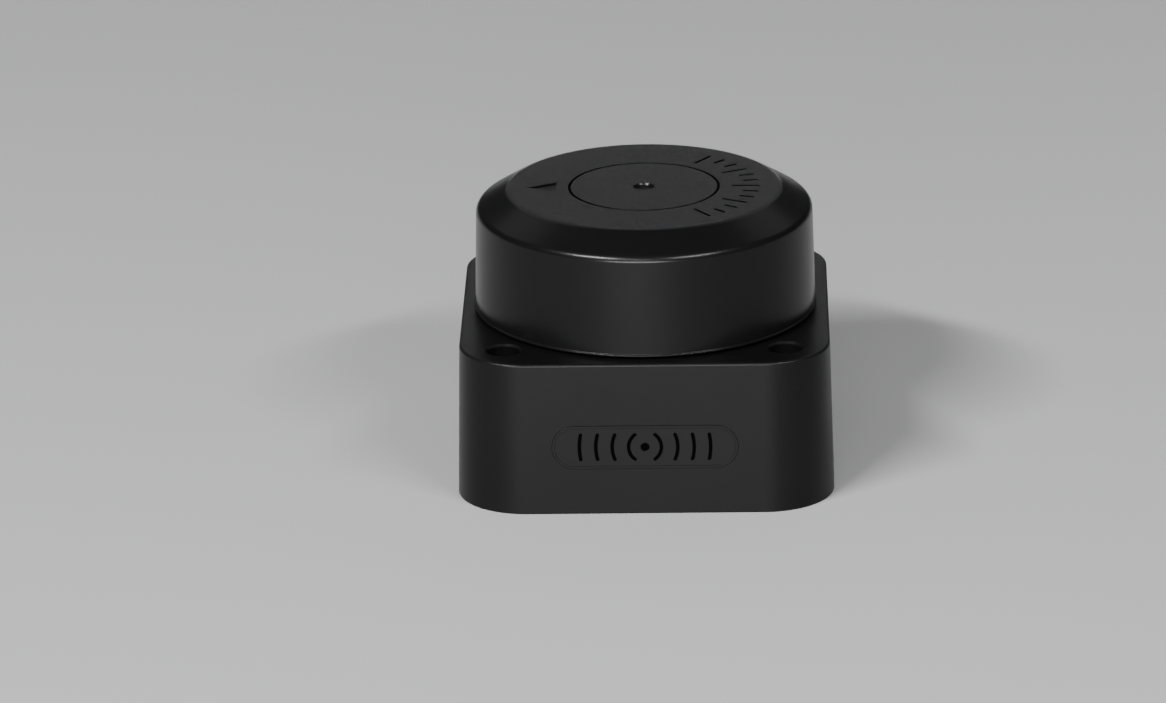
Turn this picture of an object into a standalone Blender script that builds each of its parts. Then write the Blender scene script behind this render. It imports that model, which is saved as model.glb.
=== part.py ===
"""Compact rotating lidar scanner module: a square base that stands still and a round head that spins on it.

Metres, +Z up. The origin is the centre of the underside, and the head turns about the Z axis.
The badge is on the front wall, at -Y, and the plug port is in the rear wall, at +Y.
"""

import math

import bmesh
import bpy
from mathutils import Matrix, Vector

MM = 0.001

# Base: a drafted square with round corners, open underneath
BASE_WIDTH = 55.6 * MM
BASE_DRAFT = 0.55 * MM
DECK_Z = 23.1 * MM
CORNER_RADIUS = 10.0 * MM
BASE_WALL = 2.0 * MM
BASE_EDGE = 0.4 * MM
DECK_OPENING = 19.5 * MM
COLLAR_WALL = 1.0 * MM
COLLAR_RISE = 0.7 * MM
FACE_TILT = math.atan2(BASE_DRAFT, DECK_Z)

# Corner posts: a case screw in a counterbore above, a threaded standoff for the mounting screw below
CORNER_PITCH = 41.3 * MM
POST_RADIUS = 4.4 * MM
POST_FOOT_Z = 8.3 * MM
COUNTERBORE = 2.4 * MM
SCREW_SEAT_Z = 12.0 * MM
STANDOFF_RADIUS = 2.2 * MM
STANDOFF_TOP_Z = 8.0 * MM
THREAD_BORE = 1.2 * MM
FOOT_BOSS = 3.5 * MM

# Front badge
BADGE_Z = 10.3 * MM
BADGE_WIDTH = 27.3 * MM
BADGE_HEIGHT = 6.6 * MM
BADGE_THICK = 0.6 * MM
BADGE_RECESS = 0.8 * MM
BADGE_GAP = 0.3 * MM
PULSE_STEP = 2.4 * MM
PULSE_COUNT = 4
PULSE_HALF_HEIGHT = 1.9 * MM
STROKE = 0.45 * MM
ENGRAVING = 0.2 * MM

# Plug port and header in the rear wall
PORT_HALF = 8.2 * MM
PORT_LOW_Z = 3.9 * MM
PORT_HIGH_Z = 11.1 * MM
PORT_WALL = 1.0 * MM
PORT_DEPTH_Y = 23.1 * MM
HEADER_HALF = 7.4 * MM
HEADER_LOW_Z = 4.4 * MM
HEADER_HIGH_Z = 10.6 * MM
HEADER_BACK_Y = 16.2 * MM
HEADER_MOUTH_Y = 22.8 * MM
SOCKET_WALL = 0.9 * MM
SOCKET_FLOOR_Y = 17.6 * MM
PIN_PITCH = 2.5 * MM
PIN_COUNT = 5
PIN_SIDE = 0.64 * MM
PIN_TIP_Y = 21.0 * MM

# Bottom cover and boards
COVER_THICK = 2.0 * MM
COVER_GAP = 0.35 * MM
BOARD_BOSS_Z = 2.7 * MM
BOARD_BOSS = 9.0 * MM
MAIN_BOARD_Z = 3.0 * MM
MAIN_BOARD_THICK = 1.2 * MM
MAIN_BOARD_HALF = 24.2 * MM
MAIN_BOARD_REAR = 22.5 * MM
MAIN_BOARD_CUT = 10.8 * MM
SOLDER_GAP = 0.1 * MM

# Motor: bearing tube, stator, and the bell that turns round it
FLANGE_Z = 4.5 * MM
FLANGE_THICK = 1.0 * MM
FLANGE_RADIUS = 8.5 * MM
TUBE_RADIUS = 5.2 * MM
TUBE_TOP_Z = 16.8 * MM
TUBE_COLLAR = 6.3 * MM
TUBE_COLLAR_Z = 8.6 * MM
TUBE_COLLAR_TOP_Z = 9.4 * MM
TUBE_LEDGE = 3.5 * MM
MOTOR_SCREW_RING = 7.0 * MM
SHAFT_RADIUS = 2.0 * MM
SHAFT_BORE = 1.0 * MM
SHAFT_FOOT_Z = 5.4 * MM
SHAFT_TOP_Z = 25.2 * MM
CLIP_Z = 5.65 * MM
CLIP_THICK = 0.4 * MM
CLIP_RADIUS = 3.0 * MM
CLIP_GROOVE = 1.7 * MM
FIT_GAP = 0.1 * MM
STATOR_Z = 9.6 * MM
STATOR_THICK = 3.4 * MM
STATOR_BORE = 5.4 * MM
STATOR_HUB = 6.8 * MM
TOOTH_COUNT = 6
TOOTH_HALF = 1.0 * MM
SHOE_INNER = 9.9 * MM
SHOE_OUTER = 10.8 * MM
SHOE_HALF_ANGLE = math.radians(24)
COIL_INNER = 7.1 * MM
COIL_OUTER = 9.2 * MM
COIL_HALF = 2.6 * MM
COIL_BUILD = 0.8 * MM
COIL_GAP = 0.15 * MM
MAGNET_INNER = 11.1 * MM
MAGNET_OUTER = 12.3 * MM
MAGNET_Z = 9.2 * MM
MAGNET_TOP_Z = 13.4 * MM
BELL_OUTER = 13.3 * MM
BELL_INNER = 12.5 * MM
BELL_FOOT_Z = 8.8 * MM
BELL_ROOF_Z = 17.2 * MM
BELL_TOP_Z = 18.1 * MM
BELL_HUB = 5.0 * MM
BELL_HUB_TOP_Z = 24.0 * MM

# Ball bearings, 4 x 8 x 3
BEARING_OUTER = 4.0 * MM
BEARING_INNER = 2.1 * MM
BEARING_WIDTH = 3.0 * MM
BEARING_PITCH = 3.0 * MM
OUTER_SHOULDER = 3.35 * MM
INNER_SHOULDER = 2.65 * MM
BALL_RADIUS = 0.6 * MM
BALL_COUNT = 7
GROOVE_RADIUS = 0.68 * MM
CAGE_HALF_WALL = 0.15 * MM
CAGE_HALF_HEIGHT = 0.75 * MM
BEARING_FEET_Z = {"lower": 6.3 * MM, "upper": 13.6 * MM}

# Contactless power link and angle encoder
LINK_BOARD_Z = 18.7 * MM
LINK_BOARD_THICK = 0.8 * MM
LINK_BOARD_RADIUS = 23.3 * MM
LINK_BOARD_BORE = 6.5 * MM
LINK_BOSS_RING = 21.4 * MM
LINK_BOSS_RADIUS = 1.9 * MM
LINK_BOSS_ANGLES = [math.radians(a) for a in (20, 160, 270)]
FERRITE_INNER = 8.0 * MM
FERRITE_OUTER = 16.0 * MM
FERRITE_THICK = 0.6 * MM
LOWER_FERRITE_Z = 19.7 * MM
UPPER_FERRITE_Z = 23.3 * MM
WINDING_INNER = 9.0 * MM
WINDING_OUTER = 15.5 * MM
WINDING_THICK = 0.8 * MM
PRIMARY_Z = 20.5 * MM
SECONDARY_Z = 22.2 * MM
ENCODER_INNER = 17.7 * MM
ENCODER_OUTER = 18.2 * MM
ENCODER_FOOT_Z = 20.8 * MM
ENCODER_TOP_Z = 24.0 * MM
ENCODER_SLOTS = 18
ENCODER_SLOT_HALF = 1.5 * MM
ENCODER_SLOT_TOP_Z = 22.6 * MM
SENSOR_INNER = 16.3 * MM
SENSOR_OUTER = 19.2 * MM
SENSOR_ARM = 0.75 * MM
SENSOR_HALF = 2.2 * MM
SENSOR_FLOOR_Z = 20.4 * MM
SENSOR_TOP_Z = 22.9 * MM

# Head: platform, boards, optics and cover
PLATFORM_Z = 24.2 * MM
PLATFORM_THICK = 1.6 * MM
PLATFORM_RADIUS = 23.6 * MM
PLATFORM_BORE = 2.2 * MM
PLATFORM_SCREW_RING = 3.6 * MM
PILLAR_Y = 8.2 * MM
PILLAR_RADIUS = 2.2 * MM
PILLAR_SHOULDER = 3.2 * MM
SHOULDER_Z = 27.7 * MM
PILLAR_TOP_Z = 36.7 * MM
REST_X = 15.8 * MM
HEAD_BOARD_Z = 28.0 * MM
HEAD_BOARD_THICK = 1.0 * MM
HEAD_BOARD_RADIUS = 22.3 * MM
HEAD_BOARD_EDGE_X = -5.5 * MM
OPTICS_FRONT_X = -18.0 * MM
OPTICS_REAR_X = -9.0 * MM
OPTICS_HALF = 12.0 * MM
OPTICS_LOW_Z = 26.1 * MM
OPTICS_HIGH_Z = 38.2 * MM
OPTICS_AXIS_Z = 32.2 * MM
EMITTER_Y = 6.8 * MM
EMITTER_BORE = 3.6 * MM
RECEIVER_Y = -5.0 * MM
RECEIVER_BORE = 5.2 * MM
LENS_GAP = 0.2 * MM
COUNTERWEIGHT_INNER = 19.6 * MM
COUNTERWEIGHT_OUTER = 22.4 * MM
COUNTERWEIGHT_HALF_ANGLE = math.radians(32)
HEAD_FOOT_Z = 23.5 * MM
HEAD_TOP_Z = 41.3 * MM
HEAD_LIP = 25.53 * MM
HEAD_WALL_FOOT = 25.38 * MM
HEAD_WALL_TOP = 24.98 * MM
HEAD_SHOULDER_Z = 38.4 * MM
HEAD_TOP_RADIUS = 20.3 * MM
HEAD_WALL = 1.5 * MM
HEAD_ROOF = 1.8 * MM
DISC_RADIUS = 10.88 * MM
DISC_SEAT = 11.26 * MM
DISC_SEAT_Z = 40.2 * MM
DISC_FOOT_Z = 40.4 * MM
DIMPLE_RADIUS = 1.45 * MM
DIMPLE_DEPTH = 0.5 * MM
COVER_BOSS = 3.2 * MM
COVER_BOSS_Z = 37.0 * MM
COVER_SCREW_SEAT_Z = 38.6 * MM

# Marks engraved in the head's top: a heading arrow and an angle scale
MARK_INNER = 13.05 * MM
MARK_OUTER = 17.2 * MM
MARK_DEPTH = 0.25 * MM
ARROW_HALF = 2.2 * MM
SCALE_HALF_ANGLE = math.radians(55)
SCALE_TICKS = 13
LONG_TICK_EVERY = 3
SHORT_TICK_INNER = 14.9 * MM

FINE_STEPS = 40
MEDIUM_STEPS = 24
SMALL_STEPS = 12

# Slot: colour, roughness, metallic
FINISHES = {
    "housing_plastic": ((0.022, 0.022, 0.023), 0.42, 0.0),
    "head_plastic": ((0.014, 0.014, 0.015), 0.34, 0.0),
    "badge_plastic": ((0.026, 0.026, 0.027), 0.45, 0.0),
    "inner_plastic": ((0.03, 0.03, 0.032), 0.55, 0.0),
    "steel": ((0.55, 0.56, 0.58), 0.3, 1.0),
    "black_steel": ((0.04, 0.04, 0.045), 0.38, 1.0),
    "brass": ((0.72, 0.53, 0.24), 0.32, 1.0),
    "aluminium": ((0.72, 0.73, 0.75), 0.35, 1.0),
    "circuit_board": ((0.02, 0.11, 0.06), 0.4, 0.0),
    "chip": ((0.03, 0.03, 0.035), 0.5, 0.0),
    "copper": ((0.72, 0.33, 0.16), 0.35, 1.0),
    "ferrite": ((0.06, 0.06, 0.065), 0.6, 0.0),
    "magnet": ((0.2, 0.2, 0.21), 0.45, 0.6),
    "core_steel": ((0.3, 0.3, 0.31), 0.45, 1.0),
    "lens_glass": ((0.35, 0.12, 0.14), 0.05, 0.0),
    "header_plastic": ((0.78, 0.75, 0.66), 0.5, 0.0),
}


# Scene and object helpers


def clear_scene():
    for obj in list(bpy.data.objects):
        bpy.data.objects.remove(obj)


def new_collection(name):
    group = bpy.data.collections.new(name)
    bpy.context.scene.collection.children.link(group)
    return group


def make_materials():
    made = {}
    for slot, (colour, roughness, metallic) in FINISHES.items():
        material = bpy.data.materials.new(slot)
        material.use_nodes = True
        shader = material.node_tree.nodes["Principled BSDF"]
        shader.inputs["Base Color"].default_value = (*colour, 1.0)
        shader.inputs["Roughness"].default_value = roughness
        shader.inputs["Metallic"].default_value = metallic
        made[slot] = material
    return made


def add_part(name, data, slot, parent=None):
    """A named sub-part in the module's collection."""
    obj = bpy.data.objects.new(name, data)
    PARTS.objects.link(obj)
    data.materials.append(MATERIALS[slot])
    obj.parent = parent
    return obj


def add_cutter(name, data):
    """A helper that a Boolean joins or cuts with: drawn as wire, never rendered."""
    obj = bpy.data.objects.new(name, data)
    CUTTERS.objects.link(obj)
    obj.hide_render = True
    obj.display_type = "WIRE"
    return obj


def add_axis(name, z):
    """An empty on the spin axis, to parent turning parts to."""
    empty = bpy.data.objects.new(name, None)
    PARTS.objects.link(empty)
    empty.location.z = z
    return empty


def boolean(target, helper, operation):
    modifier = target.modifiers.new(helper.name, "BOOLEAN")
    modifier.operation = operation
    modifier.object = helper
    return target


def cut(target, helper):
    return boolean(target, helper, "DIFFERENCE")


def fuse(target, helper):
    return boolean(target, helper, "UNION")


def smooth(mesh, angle=math.radians(35)):
    mesh.shade_smooth()
    mesh.set_sharp_from_angle(angle=angle)


# Shapes, as mesh or curve data


def boxes(name, spans):
    """One mesh of cubes, each given by its lowest and highest corners."""
    bm = bmesh.new()
    for low, high in spans:
        size = [b - a for a, b in zip(low, high)]
        middle = [(a + b) / 2 for a, b in zip(low, high)]
        place = Matrix.Translation(middle) @ Matrix.Diagonal((*size, 1.0))
        bmesh.ops.create_cube(bm, size=1.0, matrix=place)
    return finish_mesh(name, bm)


def cylinders(name, places, radius, low, high, steps=SMALL_STEPS):
    """One mesh of upright cylinders, all of one size, at the (x, y) places."""
    bm = bmesh.new()
    for x, y in places:
        bmesh.ops.create_cone(
            bm,
            cap_ends=True,
            segments=steps,
            radius1=radius,
            radius2=radius,
            depth=high - low,
            matrix=Matrix.Translation((x, y, (low + high) / 2)),
        )
    return finish_mesh(name, bm)


def finish_mesh(name, bm):
    mesh = bpy.data.meshes.new(name)
    bm.to_mesh(mesh)
    bm.free()
    smooth(mesh)
    return mesh


def outline(name, loops, thick):
    """A flat plate about Z = 0: closed loops of (x, y) points, the inner ones its holes."""
    curve = bpy.data.curves.new(name, "CURVE")
    curve.dimensions = "2D"
    curve.fill_mode = "BOTH"
    curve.extrude = thick / 2
    for loop in loops:
        spline = curve.splines.new("POLY")
        spline.points.add(len(loop) - 1)
        for point, (x, y) in zip(spline.points, loop):
            point.co = (x, y, 0.0, 1.0)
        spline.use_cyclic_u = True
    return curve


def as_mesh(obj):
    """The evaluated shape of a curve object, welded, as a mesh object that takes the curve's place."""
    bpy.context.view_layer.update()
    graph = bpy.context.evaluated_depsgraph_get()
    mesh = bpy.data.meshes.new_from_object(obj.evaluated_get(graph))
    bm = bmesh.new()
    bm.from_mesh(mesh)
    bmesh.ops.remove_doubles(bm, verts=bm.verts, dist=0.001 * MM)
    bm.to_mesh(mesh)
    bm.free()
    name = obj.name
    obj.name = name + "_curve"
    made = bpy.data.objects.new(name, mesh)
    made.matrix_world = obj.matrix_world
    made.parent = obj.parent
    made.hide_render = obj.hide_render
    made.display_type = obj.display_type
    for group in obj.users_collection:
        group.objects.link(made)
    bpy.data.objects.remove(obj)
    return made


def profile_mesh(name, points, closed):
    bm = bmesh.new()
    corners = [bm.verts.new((r, 0.0, z)) for r, z in points]
    for first, second in zip(corners, corners[1:]):
        bm.edges.new((first, second))
    if closed:
        bm.edges.new((corners[-1], corners[0]))
    mesh = bpy.data.meshes.new(name)
    bm.to_mesh(mesh)
    bm.free()
    return mesh


def turn(obj, steps):
    """Turns the object's (r, z) profile about its own Z axis."""
    screw = obj.modifiers.new("Turn", "SCREW")
    screw.steps = steps
    screw.render_steps = steps
    screw.use_merge_vertices = True
    screw.merge_threshold = 0.005 * MM
    screw.use_smooth_shade = False
    return obj


def turned(name, points, slot, steps=MEDIUM_STEPS, closed=True, parent=None):
    """A turned part, its points down its outer side: closed for a ring, open where it meets the axis."""
    return turn(add_part(name, profile_mesh(name, points, closed), slot, parent), steps)


def turned_cutter(name, points, steps=MEDIUM_STEPS, closed=True):
    return turn(add_cutter(name, profile_mesh(name, points, closed)), steps)


def ring_points(inner, outer, low, high):
    return [(inner, high), (outer, high), (outer, low), (inner, low)]


def disc_points(radius, low, high):
    return [(0.0, high), (radius, high), (radius, low), (0.0, low)]


def arc(radius, start, end, steps, centre=(0.0, 0.0)):
    """Points along an arc, both ends included."""
    angles = [start + (end - start) * i / steps for i in range(steps + 1)]
    return [(centre[0] + radius * math.cos(a), centre[1] + radius * math.sin(a)) for a in angles]


def circle(radius, steps, centre=(0.0, 0.0)):
    return arc(radius, 0.0, math.tau, steps, centre)[:-1]


def stadium(width, height, steps=10):
    """A bar with round ends."""
    reach = (width - height) / 2
    right = arc(height / 2, -math.pi / 2, math.pi / 2, steps, (reach, 0.0))
    left = arc(height / 2, math.pi / 2, 3 * math.pi / 2, steps, (-reach, 0.0))
    return right + left


def arc_bar(radius, half_angle, stroke, steps=6):
    """An arc stroke of constant width, symmetric about +X."""
    outer = arc(radius + stroke / 2, -half_angle, half_angle, steps)
    inner = arc(radius - stroke / 2, half_angle, -half_angle, steps)
    return outer + inner


def turned_about(points, angle):
    c, s = math.cos(angle), math.sin(angle)
    return [(c * x - s * y, s * x + c * y) for x, y in points]


def polar(radius, angle):
    return (radius * math.cos(angle), radius * math.sin(angle))


def on_ring(radius, angles):
    return [polar(radius, a) for a in angles]


def corners(pitch):
    half = pitch / 2
    return [(-half, -half), (half, -half), (half, half), (-half, half)]


# Base


def drafted_block(name, foot_half, top_half, low, high, radius):
    """A square block that narrows upwards, with round upright corners."""
    bm = bmesh.new()
    bmesh.ops.create_cube(bm, size=2.0)
    for vert in bm.verts:
        half = top_half if vert.co.z > 0 else foot_half
        vert.co = Vector((vert.co.x * half, vert.co.y * half, high if vert.co.z > 0 else low))
    uprights = [e for e in bm.edges if abs(e.verts[0].co.z - e.verts[1].co.z) > (high - low) / 2]
    bmesh.ops.bevel(bm, geom=uprights, offset=radius, segments=8, profile=0.5, affect="EDGES")
    return bm


def front_face_place(depth, z):
    """Where something lies on the drafted front wall: depth is how far in from the wall's face."""
    y = -BASE_WIDTH / 2 + z * math.tan(FACE_TILT)
    tilt = Matrix.Rotation(math.pi / 2 - FACE_TILT, 4, "X")
    return Matrix.Translation((0.0, y, z)) @ tilt @ Matrix.Translation((0.0, 0.0, -depth))


def half_width(z):
    """Half the width of the drafted base at a height."""
    return BASE_WIDTH / 2 - z * math.tan(FACE_TILT)


def base_shell():
    """The drafted block with its top edge rounded, hollowed from below."""
    bm = drafted_block("base_housing", half_width(0.0), half_width(DECK_Z), 0.0, DECK_Z, CORNER_RADIUS)
    rim = [e for e in bm.edges if all(v.co.z > DECK_Z - 0.01 * MM for v in e.verts)]
    bmesh.ops.bevel(bm, geom=rim, offset=BASE_EDGE, segments=2, profile=0.5, affect="EDGES")
    housing = add_part("base_housing", finish_mesh("base_housing", bm), "housing_plastic")
    low, high = -MM, DECK_Z - BASE_WALL
    foot, top = half_width(low) - BASE_WALL, half_width(high) - BASE_WALL
    hollow = drafted_block("hollow", foot, top, low, high, CORNER_RADIUS - BASE_WALL)
    return cut(housing, add_cutter("hollow", finish_mesh("hollow", hollow)))


def base_housing():
    housing = base_shell()
    deck_foot = DECK_Z - BASE_WALL
    posts = cylinders("posts", corners(CORNER_PITCH), POST_RADIUS, POST_FOOT_Z, DECK_Z - MM, 16)
    fuse(housing, add_cutter("posts", posts))
    bosses = on_ring(LINK_BOSS_RING, LINK_BOSS_ANGLES)
    boss_foot = LINK_BOARD_Z + LINK_BOARD_THICK + 0.3 * MM
    boss_mesh = cylinders("link_bosses", bosses, LINK_BOSS_RADIUS, boss_foot, DECK_Z - MM)
    fuse(housing, add_cutter("link_bosses", boss_mesh))
    collar = ring_points(DECK_OPENING - MM, DECK_OPENING + COLLAR_WALL, DECK_Z - MM, DECK_Z + COLLAR_RISE)
    fuse(housing, turned_cutter("collar", collar, FINE_STEPS))
    duct = (
        (-PORT_HALF - PORT_WALL, PORT_DEPTH_Y, PORT_LOW_Z - PORT_WALL),
        (PORT_HALF + PORT_WALL, BASE_WIDTH / 2 - 1.2 * MM, PORT_HIGH_Z + PORT_WALL),
    )
    fuse(housing, add_cutter("port_duct", boxes("port_duct", [duct])))
    port = (
        (-PORT_HALF, PORT_DEPTH_Y - MM, PORT_LOW_Z),
        (PORT_HALF, BASE_WIDTH / 2 + MM, PORT_HIGH_Z),
    )
    cut(housing, add_cutter("port", boxes("port", [port])))
    opening = disc_points(DECK_OPENING, deck_foot - 2 * MM, DECK_Z + 2 * MM)
    cut(housing, turned_cutter("deck_opening", opening, FINE_STEPS, closed=False))
    wide = cylinders("counterbores", corners(CORNER_PITCH), COUNTERBORE, SCREW_SEAT_Z, DECK_Z + MM, 20)
    cut(housing, add_cutter("counterbores", wide))
    narrow = cylinders("screw_holes", corners(CORNER_PITCH), 1.4 * MM, POST_FOOT_Z - MM, SCREW_SEAT_Z + MM)
    cut(housing, add_cutter("screw_holes", narrow))
    pilots = cylinders("link_pilots", bosses, 0.9 * MM, boss_foot - MM, DECK_Z - 0.9 * MM)
    cut(housing, add_cutter("link_pilots", pilots))
    recess = outline(
        "badge_recess",
        [stadium(BADGE_WIDTH + 2 * BADGE_GAP, BADGE_HEIGHT + 2 * BADGE_GAP)],
        2 * BADGE_RECESS,
    )
    recess_cutter = add_cutter("badge_recess", recess)
    recess_cutter.matrix_world = front_face_place(0.0, BADGE_Z)
    cut(housing, as_mesh(recess_cutter))


def pulse_marks():
    """A dot with arcs spreading to both sides, the same height each: a ranging pulse."""
    marks = [circle(0.55 * MM, 12)]
    for side in (0.0, math.pi):
        for i in range(1, PULSE_COUNT + 1):
            radius = i * PULSE_STEP
            half_angle = math.asin(min(0.97, PULSE_HALF_HEIGHT / radius))
            marks.append(turned_about(arc_bar(radius, half_angle, STROKE), side))
    return marks


def front_badge():
    plate = outline("front_badge", [stadium(BADGE_WIDTH, BADGE_HEIGHT)], BADGE_THICK)
    badge = add_part("front_badge", plate, "badge_plastic")
    badge.matrix_world = front_face_place(BADGE_THICK / 2, BADGE_Z)
    pulse = add_cutter("pulse", outline("pulse", pulse_marks(), 2 * ENGRAVING))
    pulse.matrix_world = front_face_place(0.0, BADGE_Z)
    cut(as_mesh(badge), as_mesh(pulse))


def bottom_cover():
    half = BASE_WIDTH / 2 - BASE_WALL - COVER_GAP
    draft = COVER_THICK * math.tan(FACE_TILT)
    radius = CORNER_RADIUS - BASE_WALL - COVER_GAP
    bm = drafted_block("bottom_cover", half, half - draft, 0.0, COVER_THICK, radius)
    cover = add_part("bottom_cover", finish_mesh("bottom_cover", bm), "inner_plastic")
    feet = cylinders("foot_bosses", corners(CORNER_PITCH), FOOT_BOSS, MM, STANDOFF_TOP_Z, 16)
    fuse(cover, add_cutter("foot_bosses", feet))
    middle = disc_points(BOARD_BOSS, MM, BOARD_BOSS_Z)
    fuse(cover, turned_cutter("board_boss", middle, closed=False))
    bores = cylinders(
        "standoff_bores",
        corners(CORNER_PITCH),
        STANDOFF_RADIUS + 0.3 * MM,
        -MM,
        STANDOFF_TOP_Z + MM,
    )
    cut(cover, add_cutter("standoff_bores", bores))
    pilots = cylinders("motor_pilots", motor_screw_places(), 0.95 * MM, 0.5 * MM, BOARD_BOSS_Z + MM)
    cut(cover, add_cutter("motor_pilots", pilots))


# Fasteners


def screw(name, place, seat_z, head_radius, head_height, shank_radius, length, slot, parent=None, up=False):
    """A socket-head screw. Its seat is the underside of the head, and it points down unless up is set."""
    head_top = head_height
    profile = [
        (0.0, head_top),
        (head_radius * 0.85, head_top),
        (head_radius, head_top - 0.15 * head_radius),
        (head_radius, 0.0),
        (shank_radius, 0.0),
        (shank_radius, -length + shank_radius * 0.4),
        (shank_radius * 0.6, -length),
        (0.0, -length),
    ]
    made = turned(name, profile, slot, SMALL_STEPS, closed=False, parent=parent)
    socket = bmesh.new()
    bmesh.ops.create_cone(
        socket,
        cap_ends=True,
        segments=6,
        radius1=head_radius * 0.45,
        radius2=head_radius * 0.45,
        depth=head_height,
        matrix=Matrix.Translation((0.0, 0.0, head_height)),
    )
    cutter = add_cutter(name + "_socket", finish_mesh(name + "_socket", socket))
    base = parent.location.z if parent else 0.0
    flip = Matrix.Rotation(math.pi if up else 0.0, 4, "X")
    made.matrix_local = Matrix.Translation((*place, seat_z - base)) @ flip
    cutter.matrix_world = Matrix.Translation((*place, seat_z)) @ flip
    return cut(made, cutter)


def case_screws():
    for i, place in enumerate(corners(CORNER_PITCH), 1):
        seat = SCREW_SEAT_Z + 0.3 * MM
        screw(f"case_screw_{i}", place, seat, 2.1 * MM, 2.0 * MM, 1.05 * MM, 7.0 * MM, "black_steel")


def standoffs():
    """Brass standoffs, threaded right through: the case screw from above, the mounting screw from below."""
    for i, (x, y) in enumerate(corners(CORNER_PITCH), 1):
        points = ring_points(THREAD_BORE, STANDOFF_RADIUS, 0.0, STANDOFF_TOP_Z)
        turned(f"standoff_{i}", points, "brass", 16).location = (x, y, 0.0)


def motor_screw_places():
    return on_ring(MOTOR_SCREW_RING, [math.radians(a) for a in (30, 150, 270)])


def motor_screws():
    for i, place in enumerate(motor_screw_places(), 1):
        seat = FLANGE_Z + FLANGE_THICK + 0.15 * MM
        screw(f"motor_screw_{i}", place, seat, 1.3 * MM, 0.9 * MM, 0.7 * MM, 4.8 * MM, "steel")


def link_board_screws():
    for i, place in enumerate(on_ring(LINK_BOSS_RING, LINK_BOSS_ANGLES), 1):
        seat = LINK_BOARD_Z - 0.15 * MM
        screw(
            f"link_board_screw_{i}",
            place,
            seat,
            1.4 * MM,
            0.9 * MM,
            0.65 * MM,
            3.0 * MM,
            "steel",
            up=True,
        )


# Electronics of the base


def main_board():
    half, cut_back, rear = MAIN_BOARD_HALF, MAIN_BOARD_CUT, MAIN_BOARD_REAR
    shape = [
        (-half, -cut_back),
        (-cut_back, -half),
        (cut_back, -half),
        (half, -cut_back),
        (half, cut_back),
        (cut_back + half - rear, rear),
        (-cut_back - half + rear, rear),
        (-half, cut_back),
    ]
    holes = [circle(0.95 * MM, 12, place) for place in motor_screw_places()]
    board = add_part(
        "main_board",
        outline("main_board", [shape, *holes], MAIN_BOARD_THICK),
        "circuit_board",
    )
    board.location.z = MAIN_BOARD_Z + MAIN_BOARD_THICK / 2


def board_component(name, low, high, slot, parent=None):
    middle = Vector([(a + b) / 2 for a, b in zip(low, high)])
    local = [[a - m for a, m in zip(corner, middle)] for corner in (low, high)]
    made = add_part(name, boxes(name, [local]), slot, parent)
    made.location = middle - Vector((0.0, 0.0, parent.location.z if parent else 0.0))
    return made


def base_electronics():
    top = MAIN_BOARD_Z + MAIN_BOARD_THICK + SOLDER_GAP
    mcu_half = 3.5 * MM
    mcu_x, mcu_y = -17.5 * MM, -3.0 * MM
    board_component(
        "mcu_chip",
        (mcu_x - mcu_half, mcu_y - mcu_half, top),
        (mcu_x + mcu_half, mcu_y + mcu_half, top + 1.0 * MM),
        "chip",
    )
    can = [
        (0.0, 5.4 * MM),
        (2.9 * MM, 5.4 * MM),
        (3.15 * MM, 5.1 * MM),
        (3.15 * MM, 0.9 * MM),
        (2.95 * MM, 0.7 * MM),
        (3.15 * MM, 0.5 * MM),
        (3.15 * MM, 0.0),
        (0.0, 0.0),
    ]
    capacitor = turned("capacitor", can, "aluminium", 20, closed=False)
    capacitor.location = (17.8 * MM, -5.0 * MM, top)
    dome = [(0.0, 0.7 * MM), (0.35 * MM, 0.62 * MM), (0.6 * MM, 0.35 * MM), (0.6 * MM, 0.0), (0.0, 0.0)]
    turned("link_led", dome, "lens_glass", 12, closed=False).location.z = top


def connector_header():
    body = boxes(
        "connector_header",
        [
            (
                (-HEADER_HALF, HEADER_BACK_Y, HEADER_LOW_Z),
                (HEADER_HALF, HEADER_MOUTH_Y, HEADER_HIGH_Z),
            )
        ],
    )
    header = add_part("connector_header", body, "header_plastic")
    socket = (
        (-HEADER_HALF + SOCKET_WALL, SOCKET_FLOOR_Y, HEADER_LOW_Z + SOCKET_WALL),
        (HEADER_HALF - SOCKET_WALL, HEADER_MOUTH_Y + MM, HEADER_HIGH_Z - SOCKET_WALL),
    )
    cut(header, add_cutter("socket", boxes("socket", [socket])))
    middle_z = (HEADER_LOW_Z + HEADER_HIGH_Z) / 2
    half = PIN_SIDE / 2
    pins = []
    for i in range(PIN_COUNT):
        x = (i - (PIN_COUNT - 1) / 2) * PIN_PITCH
        low = (x - half, SOCKET_FLOOR_Y - 0.5 * MM, middle_z - half)
        pins.append((low, (x + half, PIN_TIP_Y, middle_z + half)))
    fuse(header, add_cutter("pins", boxes("pins", pins)))


# Motor


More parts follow.
